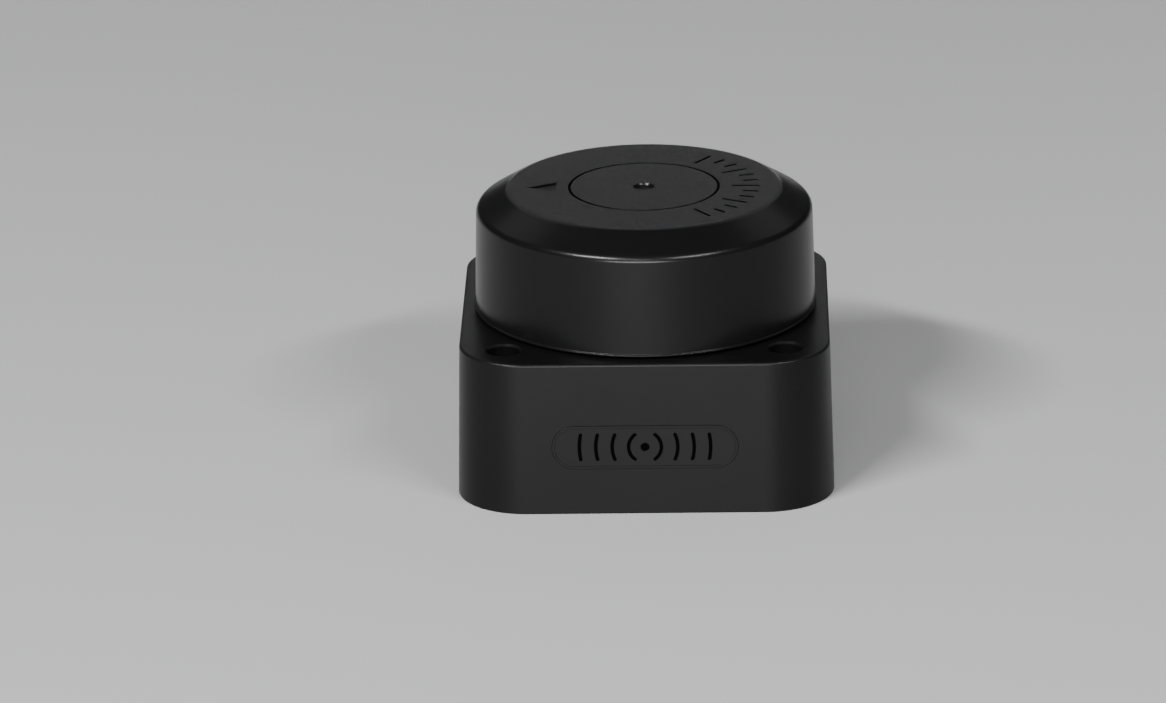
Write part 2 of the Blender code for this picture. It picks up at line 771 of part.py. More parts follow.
def bearing_tube():
    ledge_low = BEARING_FEET_Z["lower"] - FIT_GAP
    lower_top = BEARING_FEET_Z["lower"] + BEARING_WIDTH + FIT_GAP
    upper_foot = BEARING_FEET_Z["upper"] - FIT_GAP
    seat = BEARING_OUTER + FIT_GAP
    points = [
        (seat, TUBE_TOP_Z),
        (TUBE_RADIUS, TUBE_TOP_Z),
        (TUBE_RADIUS, TUBE_COLLAR_TOP_Z),
        (TUBE_COLLAR, TUBE_COLLAR_TOP_Z),
        (TUBE_COLLAR, TUBE_COLLAR_Z),
        (TUBE_RADIUS, TUBE_COLLAR_Z),
        (TUBE_RADIUS, FLANGE_Z + FLANGE_THICK),
        (FLANGE_RADIUS, FLANGE_Z + FLANGE_THICK),
        (FLANGE_RADIUS, FLANGE_Z),
        (TUBE_LEDGE, FLANGE_Z),
        (TUBE_LEDGE, ledge_low),
        (seat, ledge_low),
        (seat, lower_top),
        (TUBE_LEDGE, lower_top),
        (TUBE_LEDGE, upper_foot),
        (seat, upper_foot),
    ]
    tube = turned("bearing_tube", points, "aluminium")
    holes = cylinders("flange_holes", motor_screw_places(), 0.95 * MM, FLANGE_Z - MM, FLANGE_Z + 2 * MM)
    cut(tube, add_cutter("flange_holes", holes))


def tooth_points(angle):
    """One stator tooth with its shoe, from its root on the hub and back."""
    root = math.sqrt(STATOR_HUB**2 - TOOTH_HALF**2)
    neck = math.sqrt(SHOE_INNER**2 - TOOTH_HALF**2)
    shoe_low = polar(SHOE_INNER, -SHOE_HALF_ANGLE)
    shoe_high = polar(SHOE_INNER, SHOE_HALF_ANGLE)
    tip = arc(SHOE_OUTER, -SHOE_HALF_ANGLE, SHOE_HALF_ANGLE, 4)
    points = [(root, -TOOTH_HALF), (neck, -TOOTH_HALF), shoe_low, *tip, shoe_high]
    points += [(neck, TOOTH_HALF), (root, TOOTH_HALF)]
    return turned_about(points, angle)


def tooth_angles():
    return [math.tau * i / TOOTH_COUNT for i in range(TOOTH_COUNT)]


def stator_core():
    teeth = [point for angle in tooth_angles() for point in tooth_points(angle)]
    shape = outline("stator_core", [teeth, circle(STATOR_BORE, 24)], STATOR_THICK)
    add_part("stator_core", shape, "core_steel").location.z = STATOR_Z + STATOR_THICK / 2


def radial_boxes(name, inner, outer, half_width, low, high):
    """One mesh of boxes, one along each tooth."""
    bm = bmesh.new()
    for angle in tooth_angles():
        middle = Vector(((inner + outer) / 2, 0.0, (low + high) / 2))
        size = Matrix.Diagonal((outer - inner, 2 * half_width, high - low, 1.0))
        place = Matrix.Rotation(angle, 4, "Z") @ Matrix.Translation(middle) @ size
        bmesh.ops.create_cube(bm, size=1.0, matrix=place)
    return finish_mesh(name, bm)


def stator_winding():
    """Six coils round the teeth, joined by the crossover wires that ring the hub."""
    low, high = STATOR_Z - COIL_BUILD, STATOR_Z + STATOR_THICK + COIL_BUILD
    crossover = ring_points(COIL_INNER - 0.3 * MM, COIL_INNER + 0.3 * MM, high - 0.6 * MM, high - 0.05 * MM)
    winding = turned("stator_winding", crossover, "copper", 24)
    coils = radial_boxes("coils", COIL_INNER, COIL_OUTER, COIL_HALF, low, high)
    fuse(winding, add_cutter("coils", coils))
    window = radial_boxes(
        "coil_windows",
        STATOR_BORE,
        SHOE_OUTER,
        TOOTH_HALF + COIL_GAP,
        STATOR_Z - COIL_GAP,
        STATOR_Z + STATOR_THICK + COIL_GAP,
    )
    cut(winding, add_cutter("coil_windows", window))


def rotor_bell(parent):
    points = [
        (SHAFT_RADIUS + FIT_GAP, BELL_HUB_TOP_Z),
        (BELL_HUB, BELL_HUB_TOP_Z),
        (BELL_HUB, BELL_TOP_Z),
        (BELL_OUTER - 0.5 * MM, BELL_TOP_Z),
        (BELL_OUTER, BELL_TOP_Z - 0.5 * MM),
        (BELL_OUTER, BELL_FOOT_Z),
        (BELL_INNER, BELL_FOOT_Z),
        (BELL_INNER, BELL_ROOF_Z),
        (SHAFT_RADIUS + FIT_GAP, BELL_ROOF_Z),
    ]
    bell = turned("rotor_bell", lowered(points, parent), "steel", FINE_STEPS, parent=parent)
    pilots = cylinders(
        "hub_pilots",
        platform_screw_places(),
        0.8 * MM,
        BELL_HUB_TOP_Z - 4 * MM,
        BELL_HUB_TOP_Z + MM,
        12,
    )
    cut(bell, add_cutter("hub_pilots", pilots))
    magnet = ring_points(MAGNET_INNER, MAGNET_OUTER, MAGNET_Z, MAGNET_TOP_Z)
    turned("magnet_ring", lowered(magnet, parent), "magnet", FINE_STEPS, parent=parent)


def lowered(points, parent):
    """Profile points in the frame of the parent empty."""
    return [(r, z - parent.location.z) for r, z in points]


def shaft(parent):
    groove_low, groove_high = CLIP_Z - 0.05 * MM, CLIP_Z + CLIP_THICK + 0.05 * MM
    points = [
        (SHAFT_BORE, SHAFT_TOP_Z),
        (SHAFT_RADIUS, SHAFT_TOP_Z),
        (SHAFT_RADIUS, groove_high),
        (CLIP_GROOVE - FIT_GAP, groove_high),
        (CLIP_GROOVE - FIT_GAP, groove_low),
        (SHAFT_RADIUS, groove_low),
        (SHAFT_RADIUS, SHAFT_FOOT_Z),
        (SHAFT_BORE, SHAFT_FOOT_Z),
    ]
    turned("hollow_shaft", lowered(points, parent), "steel", 24, parent=parent)
    gap = math.radians(32)
    shape = arc(CLIP_RADIUS, gap, math.tau - gap, 20)
    shape += arc(CLIP_GROOVE, math.tau - gap, gap, 20)
    clip = add_part("shaft_clip", outline("shaft_clip", [shape], CLIP_THICK), "black_steel", parent)
    clip.location.z = CLIP_Z + CLIP_THICK / 2 - parent.location.z


def groove(start, end, middle_z, steps=3):
    """Points along the ball groove, which is an arc about the pitch circle."""
    return arc(GROOVE_RADIUS, start, end, steps, (BEARING_PITCH, middle_z))


def bearing(which, inner_parent, cage_parent):
    foot = BEARING_FEET_Z[which]
    top, middle = foot + BEARING_WIDTH, foot + BEARING_WIDTH / 2
    reach = math.acos((OUTER_SHOULDER - BEARING_PITCH) / GROOVE_RADIUS)
    outer = [(OUTER_SHOULDER, top), (BEARING_OUTER, top), (BEARING_OUTER, foot), (OUTER_SHOULDER, foot)]
    outer += groove(-reach, reach, middle)
    turned(which + "_bearing_outer", outer, "steel", 20)
    inner = [(BEARING_INNER, top), (INNER_SHOULDER, top)]
    inner += groove(math.pi - reach, math.pi + reach, middle)
    inner += [(INNER_SHOULDER, foot), (BEARING_INNER, foot)]
    turned(which + "_bearing_inner", lowered(inner, inner_parent), "steel", 20, parent=inner_parent)
    cage = ring_points(
        BEARING_PITCH - CAGE_HALF_WALL,
        BEARING_PITCH + CAGE_HALF_WALL,
        middle - CAGE_HALF_HEIGHT,
        middle + CAGE_HALF_HEIGHT,
    )
    name = which + "_bearing_balls"
    balls = turned(name, lowered(cage, cage_parent), "steel", 21, parent=cage_parent)
    bm = bmesh.new()
    for i in range(BALL_COUNT):
        x, y = polar(BEARING_PITCH, math.tau * i / BALL_COUNT)
        bmesh.ops.create_uvsphere(
            bm,
            u_segments=8,
            v_segments=5,
            radius=BALL_RADIUS,
            matrix=Matrix.Translation((x, y, middle)),
        )
    fuse(balls, add_cutter(name + "_set", finish_mesh(name + "_set", bm)))


# Contactless power link and encoder


def link_board():
    holes = [circle(0.95 * MM, 12, place) for place in on_ring(LINK_BOSS_RING, LINK_BOSS_ANGLES)]
    loops = [circle(LINK_BOARD_RADIUS, FINE_STEPS), circle(LINK_BOARD_BORE, 24), *holes]
    board = add_part("link_board", outline("link_board", loops, LINK_BOARD_THICK), "circuit_board")
    board.location.z = LINK_BOARD_Z + LINK_BOARD_THICK / 2


def power_link(parent):
    ferrite = ring_points(FERRITE_INNER, FERRITE_OUTER, 0.0, FERRITE_THICK)
    winding = ring_points(WINDING_INNER, WINDING_OUTER, 0.0, WINDING_THICK)
    base = parent.location.z
    turned("lower_ferrite", ferrite, "ferrite").location.z = LOWER_FERRITE_Z
    turned("primary_coil", winding, "copper").location.z = PRIMARY_Z
    turned("secondary_coil", winding, "copper", parent=parent).location.z = SECONDARY_Z - base
    turned("upper_ferrite", ferrite, "ferrite", parent=parent).location.z = UPPER_FERRITE_Z - base


def encoder(parent):
    points = ring_points(ENCODER_INNER, ENCODER_OUTER, ENCODER_FOOT_Z, ENCODER_TOP_Z)
    ring = turned("encoder_ring", lowered(points, parent), "inner_plastic", FINE_STEPS, parent=parent)
    bm = bmesh.new()
    middle = Vector((ENCODER_OUTER, 0.0, (ENCODER_FOOT_Z - MM + ENCODER_SLOT_TOP_Z) / 2))
    size = Matrix.Diagonal((4 * MM, 2 * ENCODER_SLOT_HALF, ENCODER_SLOT_TOP_Z - ENCODER_FOOT_Z + MM, 1.0))
    # The slot at the front is left out, so that one turn has one index mark.
    for i in range(1, ENCODER_SLOTS):
        turn_to = Matrix.Rotation(math.tau * i / ENCODER_SLOTS - math.pi / 2, 4, "Z")
        bmesh.ops.create_cube(bm, size=1.0, matrix=turn_to @ Matrix.Translation(middle) @ size)
    cut(ring, add_cutter("encoder_slots", finish_mesh("encoder_slots", bm)))
    foot = LINK_BOARD_Z + LINK_BOARD_THICK + SOLDER_GAP
    low = (-SENSOR_HALF, SENSOR_INNER, foot)
    sensor = board_component("encoder_sensor", low, (SENSOR_HALF, SENSOR_OUTER, SENSOR_TOP_Z), "chip")
    gap = (
        (-SENSOR_HALF - MM, SENSOR_INNER + SENSOR_ARM, SENSOR_FLOOR_Z),
        (SENSOR_HALF + MM, SENSOR_OUTER - SENSOR_ARM, SENSOR_TOP_Z + MM),
    )
    cut(sensor, add_cutter("sensor_gap", boxes("sensor_gap", [gap])))


# Head


def platform_screw_places():
    return on_ring(PLATFORM_SCREW_RING, [math.radians(a) for a in (90, 210, 330)])


def pillar_places():
    return [(0.0, PILLAR_Y), (0.0, -PILLAR_Y)]


def rotor_platform(parent):
    top = PLATFORM_Z + PLATFORM_THICK
    points = ring_points(PLATFORM_BORE, PLATFORM_RADIUS, PLATFORM_Z, top)
    name = "rotor_platform"
    platform = turned(name, lowered(points, parent), "inner_plastic", FINE_STEPS, parent=parent)
    rests = [*pillar_places(), (REST_X, 0.0)]
    shoulders = cylinders("shoulders", rests, PILLAR_SHOULDER, top - 0.5 * MM, SHOULDER_Z)
    fuse(platform, add_cutter("shoulders", shoulders))
    pillars = cylinders("pillars", pillar_places(), PILLAR_RADIUS, SHOULDER_Z - 0.5 * MM, PILLAR_TOP_Z)
    fuse(platform, add_cutter("pillars", pillars))
    bores = cylinders("pillar_bores", pillar_places(), 0.95 * MM, PILLAR_TOP_Z - 4 * MM, PILLAR_TOP_Z + MM)
    cut(platform, add_cutter("pillar_bores", bores))
    holes = cylinders("platform_holes", platform_screw_places(), 0.8 * MM, PLATFORM_Z - MM, top + MM, 12)
    cut(platform, add_cutter("platform_holes", holes))
    for i, place in enumerate(platform_screw_places(), 1):
        seat = top + 0.15 * MM
        screw(
            f"platform_screw_{i}",
            place,
            seat,
            1.05 * MM,
            0.6 * MM,
            0.6 * MM,
            4.0 * MM,
            "steel",
            parent=parent,
        )


def head_board(parent):
    reach = math.acos(HEAD_BOARD_EDGE_X / HEAD_BOARD_RADIUS)
    edge = arc(HEAD_BOARD_RADIUS, -reach, reach, 36)
    holes = [circle(PILLAR_RADIUS + 0.3 * MM, 16, place) for place in pillar_places()]
    shape = outline("head_board", [edge, *holes], HEAD_BOARD_THICK)
    board = add_part("head_board", shape, "circuit_board", parent)
    board.location.z = HEAD_BOARD_Z + HEAD_BOARD_THICK / 2 - parent.location.z
    foot = HEAD_BOARD_Z - SOLDER_GAP
    low = (-1.5 * MM, -1.5 * MM, foot - 1.2 * MM)
    board_component("link_photodiode", low, (1.5 * MM, 1.5 * MM, foot), "chip", parent)
    half = COUNTERWEIGHT_HALF_ANGLE
    bar = arc_bar(
        (COUNTERWEIGHT_INNER + COUNTERWEIGHT_OUTER) / 2,
        half,
        COUNTERWEIGHT_OUTER - COUNTERWEIGHT_INNER,
        10,
    )
    weight_foot = PLATFORM_Z + PLATFORM_THICK + 0.3 * MM
    thick = HEAD_BOARD_Z - 0.3 * MM - weight_foot
    loops = [bar]
    weight = add_part("counterweight", outline("counterweight", loops, thick), "brass", parent)
    weight.location.z = weight_foot + thick / 2 - parent.location.z


def facing_forward(obj, x, y, parent):
    """Points the object's own +Z axis towards -X, the way the optics look."""
    forward = Matrix.Rotation(-math.pi / 2, 4, "Y")
    place = Matrix.Translation((x, y, OPTICS_AXIS_Z - (parent.location.z if parent else 0.0)))
    obj.matrix_local = place @ forward
    return obj


def lens(name, radius, edge, crown, x, y, parent):
    """A plano-convex lens, its crown towards the front."""
    curve_radius = (radius**2 + crown**2) / (2 * crown)
    dome = []
    for i in range(5):
        r = radius * i / 4
        dome.append((r, edge + crown - curve_radius + math.sqrt(curve_radius**2 - r**2)))
    points = [*dome, (radius, 0.0), (0.0, 0.0)]
    made = turned(name, points, "lens_glass", 24, closed=False, parent=parent)
    return facing_forward(made, x, y, parent)


def optics(parent):
    low = (OPTICS_FRONT_X, -OPTICS_HALF, OPTICS_LOW_Z)
    high = (OPTICS_REAR_X, OPTICS_HALF, OPTICS_HIGH_Z)
    block = board_component("optics_block", low, high, "inner_plastic", parent)
    depth = OPTICS_REAR_X - OPTICS_FRONT_X + 2 * MM
    for name, radius, y in (
        ("emitter_bore", EMITTER_BORE, EMITTER_Y),
        ("receiver_bore", RECEIVER_BORE, RECEIVER_Y),
    ):
        bore = add_cutter(name, cylinders(name, [(0.0, 0.0)], radius, 0.0, depth, 24))
        facing_forward(bore, OPTICS_REAR_X + MM, y, None)
        cut(block, bore)
    lens_x = OPTICS_FRONT_X + 2.6 * MM
    lens("emitter_lens", EMITTER_BORE - LENS_GAP, 1.0 * MM, 0.9 * MM, lens_x, EMITTER_Y, parent)
    lens("receiver_lens", RECEIVER_BORE - LENS_GAP, 1.0 * MM, 1.4 * MM, lens_x, RECEIVER_Y, parent)
    can = [
        (0.0, 3.4 * MM),
        (1.7 * MM, 3.4 * MM),
        (1.9 * MM, 3.2 * MM),
        (1.9 * MM, 1.2 * MM),
        (2.8 * MM, 1.2 * MM),
        (2.8 * MM, 0.0),
        (0.0, 0.0),
    ]
    board_x = OPTICS_REAR_X + 0.3 * MM
    diode = turned("laser_diode", can, "brass", 20, closed=False, parent=parent)
    facing_forward(diode, OPTICS_REAR_X, EMITTER_Y, parent)
    low = (board_x, -OPTICS_HALF, OPTICS_LOW_Z)
    high = (board_x + 1.0 * MM, OPTICS_HALF, OPTICS_HIGH_Z)
    board_component("optics_board", low, high, "circuit_board", parent)
    half = 1.8 * MM
    low = (board_x - SOLDER_GAP - 1.2 * MM, RECEIVER_Y - half, OPTICS_AXIS_Z - half)
    high = (board_x - SOLDER_GAP, RECEIVER_Y + half, OPTICS_AXIS_Z + half)
    board_component("detector_chip", low, high, "chip", parent)


def head_profile():
    """The cover's section: the top disc's seat, shoulder, drafted wall and foot lip, and back up inside."""
    fillet = 0.35 * MM
    inner_top = HEAD_TOP_Z - HEAD_ROOF
    return [
        (0.0, DISC_SEAT_Z),
        (DISC_SEAT, DISC_SEAT_Z),
        (DISC_SEAT, HEAD_TOP_Z),
        (HEAD_TOP_RADIUS - fillet, HEAD_TOP_Z),
        (HEAD_TOP_RADIUS + 0.2 * MM, HEAD_TOP_Z - 0.15 * MM),
        (HEAD_WALL_TOP - 0.4 * MM, HEAD_SHOULDER_Z + 0.3 * MM),
        (HEAD_WALL_TOP - 0.1 * MM, HEAD_SHOULDER_Z),
        (HEAD_WALL_TOP, HEAD_SHOULDER_Z - fillet),
        (HEAD_WALL_FOOT, HEAD_FOOT_Z + 0.95 * MM),
        (HEAD_LIP, HEAD_FOOT_Z + 0.6 * MM),
        (HEAD_LIP, HEAD_FOOT_Z + 0.25 * MM),
        (HEAD_LIP - 0.3 * MM, HEAD_FOOT_Z),
        (HEAD_WALL_FOOT - HEAD_WALL + 0.1 * MM, HEAD_FOOT_Z),
        (HEAD_WALL_TOP - HEAD_WALL, HEAD_SHOULDER_Z - MM),
        (HEAD_TOP_RADIUS - 0.5 * MM, inner_top),
        (0.0, inner_top),
    ]


def engraved_marks():
    """Outlines of the marks in the head's top: an outward arrow at -X and a scale round +X."""
    marks = [[(-MARK_OUTER, 0.0), (-MARK_INNER, -ARROW_HALF), (-MARK_INNER, ARROW_HALF)]]
    for i in range(SCALE_TICKS):
        inner = MARK_INNER if i % LONG_TICK_EVERY == 0 else SHORT_TICK_INNER
        half = STROKE / 2
        tick = [(inner, -half), (MARK_OUTER, -half), (MARK_OUTER, half), (inner, half)]
        angle = SCALE_HALF_ANGLE * (2 * i / (SCALE_TICKS - 1) - 1)
        marks.append(turned_about(tick, angle))
    return marks


def head_cover(parent):
    cover = turned(
        "head_cover",
        lowered(head_profile(), parent),
        "head_plastic",
        FINE_STEPS,
        closed=False,
        parent=parent,
    )
    inner_top = HEAD_TOP_Z - HEAD_ROOF
    bosses = cylinders("cover_bosses", pillar_places(), COVER_BOSS, COVER_BOSS_Z, inner_top + 0.3 * MM)
    fuse(cover, add_cutter("cover_bosses", bosses))
    seats = cylinders("cover_seats", pillar_places(), 2.0 * MM, COVER_SCREW_SEAT_Z, DISC_SEAT_Z + MM)
    cut(cover, add_cutter("cover_seats", seats))
    holes = cylinders("cover_holes", pillar_places(), 0.95 * MM, COVER_BOSS_Z - MM, COVER_SCREW_SEAT_Z + MM)
    cut(cover, add_cutter("cover_holes", holes))
    marks = add_cutter("marks", outline("marks", engraved_marks(), 2 * MARK_DEPTH))
    marks.location.z = HEAD_TOP_Z
    cut(cover, as_mesh(marks))
    for i, place in enumerate(pillar_places(), 1):
        seat = COVER_SCREW_SEAT_Z + 0.2 * MM
        screw(
            f"cover_screw_{i}",
            place,
            seat,
            1.7 * MM,
            1.1 * MM,
            0.7 * MM,
            5.0 * MM,
            "black_steel",
            parent=parent,
        )


def top_disc(parent):
    dimple_floor = HEAD_TOP_Z - DIMPLE_DEPTH
    points = [
        (0.0, dimple_floor),
        (DIMPLE_RADIUS, dimple_floor),
        (DIMPLE_RADIUS, HEAD_TOP_Z),
        (DISC_RADIUS, HEAD_TOP_Z),
        (DISC_RADIUS, DISC_FOOT_Z),
        (0.0, DISC_FOOT_Z),
    ]
    turned("top_disc", lowered(points, parent), "head_plastic", FINE_STEPS, closed=False, parent=parent)


def build():
    base_housing()
    front_badge()
    bottom_cover()
    standoffs()
    case_screws()
    main_board()
    base_electronics()
    connector_header()
    bearing_tube()
    motor_screws()
    stator_core()
    stator_winding()
    link_board()
    link_board_screws()
    head_axis = add_axis("head_spin_axis", PLATFORM_Z)
    for which, foot in BEARING_FEET_Z.items():
        cage_axis = add_axis(which + "_cage_axis", foot + BEARING_WIDTH / 2)
        bearing(which, head_axis, cage_axis)
    shaft(head_axis)
    rotor_bell(head_axis)
    power_link(head_axis)
    encoder(head_axis)
    rotor_platform(head_axis)
    head_board(head_axis)
    optics(head_axis)
    head_cover(head_axis)
    top_disc(head_axis)


clear_scene()
PARTS = new_collection("lidar_scanner_module")
CUTTERS = new_collection("cutters")
MATERIALS = make_materials()
build()
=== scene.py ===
"""Looks of the rotating lidar scanner module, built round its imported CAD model.

Metres, +Z up, in the CAD model's own frame: the head turns about Z, the badge faces -Y, the plug port +Y.
"""

import math

import bmesh
import bpy
from mathutils import Matrix, Vector


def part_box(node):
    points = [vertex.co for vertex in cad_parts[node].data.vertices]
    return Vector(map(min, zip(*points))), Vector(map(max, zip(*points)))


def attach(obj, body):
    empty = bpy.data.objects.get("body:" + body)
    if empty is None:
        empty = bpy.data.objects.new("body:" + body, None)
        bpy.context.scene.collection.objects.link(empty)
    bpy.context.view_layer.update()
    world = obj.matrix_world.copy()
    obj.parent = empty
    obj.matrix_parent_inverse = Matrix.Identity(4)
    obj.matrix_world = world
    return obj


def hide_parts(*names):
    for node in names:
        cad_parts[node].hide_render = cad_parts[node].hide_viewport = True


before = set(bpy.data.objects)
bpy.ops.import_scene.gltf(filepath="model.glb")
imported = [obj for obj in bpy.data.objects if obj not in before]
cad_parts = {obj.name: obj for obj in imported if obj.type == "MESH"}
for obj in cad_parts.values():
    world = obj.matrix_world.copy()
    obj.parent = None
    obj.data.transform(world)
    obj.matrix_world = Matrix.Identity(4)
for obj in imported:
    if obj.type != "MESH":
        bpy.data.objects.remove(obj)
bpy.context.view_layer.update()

MM = 0.001
QUARTER = math.pi / 2

# Viewing angle
AZIMUTH = math.radians(0.777)
ELEVATION = math.radians(19.524)
ROLL = math.radians(-0.812)
DISTANCE = 1.05204
LENS = 217.4
SENSOR = 36.0
LOOK_AT = Vector((0.0, 0.0, 19.6 * MM))
OFF_CENTRE = (-9.387 * MM, -4.098 * MM)

# Housing, as the CAD has it, with finer edges
HOUSING_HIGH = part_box("base_housing")[1]
COLLAR_RISE = 0.7 * MM
FOOT_HALF = HOUSING_HIGH.x
DECK_Z = HOUSING_HIGH.z - COLLAR_RISE
DRAFT = 0.55 * MM
TILT = math.atan2(DRAFT, DECK_Z)
FOOT_CORNER = 10.4 * MM
DECK_CORNER = 9.8 * MM
DECK_EDGE = 0.4 * MM
FOOT_EDGE = 0.15 * MM
WALL = 2.0 * MM
DECK_OPENING = 19.5 * MM
COLLAR_WALL = 1.0 * MM
WELL_PITCH = 41.3 * MM
WELL_RADIUS = 2.4 * MM
WELL_FLOOR_Z = 12.0 * MM
WELL_CHAMFER = 0.3 * MM
POST_RADIUS = 4.4 * MM
POST_FOOT_Z = 8.3 * MM
SCREW_HOLE = 1.4 * MM
BOSS_RING = 21.4 * MM
BOSS_RADIUS = 1.9 * MM
BOSS_ANGLES = [math.radians(a) for a in (20, 160, 270)]
PORT_HALF = 8.2 * MM
PORT_LOW_Z = 3.9 * MM
PORT_HIGH_Z = 11.1 * MM
PORT_Z = (PORT_LOW_Z + PORT_HIGH_Z) / 2
PORT_HALF_Z = (PORT_HIGH_Z - PORT_LOW_Z) / 2
PORT_WALL = 1.0 * MM
PORT_CORNER = 0.8 * MM
PORT_FLARE = 0.4 * MM

# Badge
BADGE_Z = 10.3 * MM
BADGE_WIDTH = 27.3 * MM
BADGE_HEIGHT = 6.6 * MM
BADGE_THICK = 0.6 * MM
BADGE_GAP = 0.03 * MM
BADGE_EDGE = 0.05 * MM
BEAD_WIDTH = 0.42 * MM
BEAD_RISE = 0.09 * MM
PULSE_DOT = 0.62 * MM
PULSE_STEP = 2.4 * MM
PULSE_COUNT = 4
PULSE_HALF_HEIGHT = 1.9 * MM
STROKE = 0.46 * MM
ENGRAVING = 0.25 * MM
INK_GAP = 0.01 * MM
INK_DEPTH = 0.17 * MM
MARK_EDGE = 0.05 * MM

# Head
HEAD_LOW, HEAD_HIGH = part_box("head_cover")
HEAD_TOP_Z = HEAD_HIGH.z
HEAD_FOOT_Z = HEAD_LOW.z
LIP_RADIUS = HEAD_HIGH.x
WALL_FOOT_RADIUS = LIP_RADIUS - 0.17 * MM
WALL_TOP_RADIUS = LIP_RADIUS - 0.55 * MM
LIP_HEIGHT = 0.36 * MM
LIP_SHOULDER = 0.24 * MM
SHOULDER_Z = 38.5 * MM
TOP_RADIUS = 20.35 * MM
HEAD_WALL = 1.5 * MM
HEAD_ROOF = 1.8 * MM
ROOF_Z = HEAD_TOP_Z - HEAD_ROOF
SHOULDER_FILLET = 1.35 * MM
TOP_FILLET = 1.5 * MM
DISC_SEAT = 11.26 * MM
DISC_RADIUS = 10.88 * MM
DISC_SEAT_Z = 40.2 * MM
DISC_FOOT_Z = 40.4 * MM
DISC_EDGE = 0.04 * MM
# Painted seam shade: a dull black ring in the gap round the top disc, sunk a little under the surface
SEAM_SHADE_GAP = 0.01 * MM
SEAM_SHADE_DROP = 0.05 * MM
DIMPLE_RADIUS = 1.45 * MM
DIMPLE_DEPTH = 0.5 * MM
DIMPLE_FLARE = 0.15 * MM
DIMPLE_FLARE_DEPTH = 0.25 * MM
PILLAR_Y = 8.2 * MM
COVER_BOSS = 3.2 * MM
COVER_BOSS_Z = 37.0 * MM
COVER_SEAT = 2.0 * MM
COVER_SEAT_Z = 38.6 * MM
MARK_INNER = 13.05 * MM
MARK_OUTER = 17.2 * MM
MARK_DEPTH = 0.24 * MM
ARROW_HALF = 2.2 * MM
SCALE_HALF_ANGLE = math.radians(55)
SCALE_TICKS = 13
LONG_TICK_EVERY = 3
SHORT_TICK_INNER = 14.9 * MM

# Underside and rear
COVER_GAP = 0.2 * MM
COVER_THICK = 2.0 * MM
COVER_EDGE = 0.25 * MM
STANDOFF_RADIUS = 2.2 * MM
STANDOFF_TOP_Z = 8.0 * MM
STANDOFF_EDGE = 0.25 * MM
THREAD_BORE = 1.2 * MM
THREAD_PITCH = 0.45 * MM
THREAD_DEPTH = 0.13 * MM
FOOT_BOSS = 3.5 * MM
LABEL_HALF = (11.0 * MM, 6.0 * MM)
LABEL_DEPTH = 0.15 * MM
EJECTOR_RING = 19.0 * MM
EJECTOR_RADIUS = 1.5 * MM
EJECTOR_DEPTH = 0.06 * MM
HEADER_LOW, HEADER_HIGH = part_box("connector_header")
SOCKET_WALL = 0.9 * MM
SOCKET_FLOOR_Y = 17.6 * MM
KEY_X = 4.2 * MM
PIN_PITCH = 2.5 * MM
PIN_COUNT = 5
PIN_HALF = 0.32 * MM
PIN_TIP_Y = 21.0 * MM

# Motor, bearings and power link, as the CAD has them
FIT_GAP = 0.1 * MM
SCREW_PASSAGE = 0.95 * MM
PILOT_RADIUS = 0.8 * MM
BALL_CIRCLE = 3.0 * MM
BALL_RADIUS = 0.6 * MM
BALL_COUNT = 7
GROOVE_RADIUS = 0.68 * MM
OUTER_SHOULDER = 3.35 * MM
INNER_SHOULDER = 2.65 * MM
BEARING_BORE = 2.1 * MM
CAGE_HALF_WALL = 0.15 * MM
CAGE_HALF_HEIGHT = 0.75 * MM
TUBE_RADIUS = 5.2 * MM
TUBE_LEDGE = 3.5 * MM
TUBE_COLLAR = 6.3 * MM
TUBE_COLLAR_Z = 8.6 * MM
TUBE_COLLAR_TOP_Z = 9.4 * MM
FLANGE_THICK = 1.0 * MM
MOTOR_SCREWS = (7.0 * MM, (30, 150, 270))
SHAFT_BORE = 1.0 * MM
CLIP_GROOVE = 1.6 * MM
CLIP_MOUTH = math.radians(32)
TOOTH_COUNT = 6
TOOTH_ANGLES = [math.tau * i / TOOTH_COUNT for i in range(TOOTH_COUNT)]
STATOR_BORE = 5.4 * MM
STATOR_HUB = 6.8 * MM
TOOTH_HALF = 1.0 * MM
SHOE_INNER = 9.9 * MM
SHOE_OUTER = 10.8 * MM
SHOE_HALF_ANGLE = math.radians(24)
LAMINATIONS = 8
SHEET_LINE = 0.03 * MM
COIL_INNER = 7.1 * MM
COIL_GAP = 0.15 * MM
COIL_TURNS = 6
COIL_WIRE = 0.16 * MM
COIL_SPACING = 2.06
BELL_HUB = 5.0 * MM
BELL_TOP_Z = 18.1 * MM
BELL_ROOF_Z = 17.2 * MM
BELL_WALL = 0.8 * MM
MAGNET_INNER = 11.1 * MM
FERRITE_INNER = 8.0 * MM
WINDING_INNER = 9.0 * MM
LINK_WIRE = 0.32 * MM
LINK_TURNS = 8.5
LINK_BOARD_BORE = 6.5 * MM
ENCODER_INNER = 17.7 * MM
ENCODER_SLOTS = 18
SLOT_HALF = 1.5 * MM
SLOT_TOP_Z = 22.6 * MM
SENSOR_ARM = 0.75 * MM
SENSOR_FLOOR_Z = 20.4 * MM

# Boards and the head's inside, as the CAD has them
BOARD_CUT = 10.8 * MM
PLATFORM_BORE = 2.2 * MM
PLATFORM_THICK = 1.6 * MM
PLATFORM_SCREWS = (3.6 * MM, (90, 210, 330))
PILLAR_RADIUS = 2.2 * MM
PILLAR_SHOULDER = 3.2 * MM
PILLAR_SHOULDER_Z = 27.7 * MM
REST_X = 15.8 * MM
LENS_GAP = 0.2 * MM
LENS_EDGE = 1.0 * MM
COUNTERWEIGHT_INNER = 19.6 * MM
COUNTERWEIGHT_HALF_ANGLE = math.radians(32)

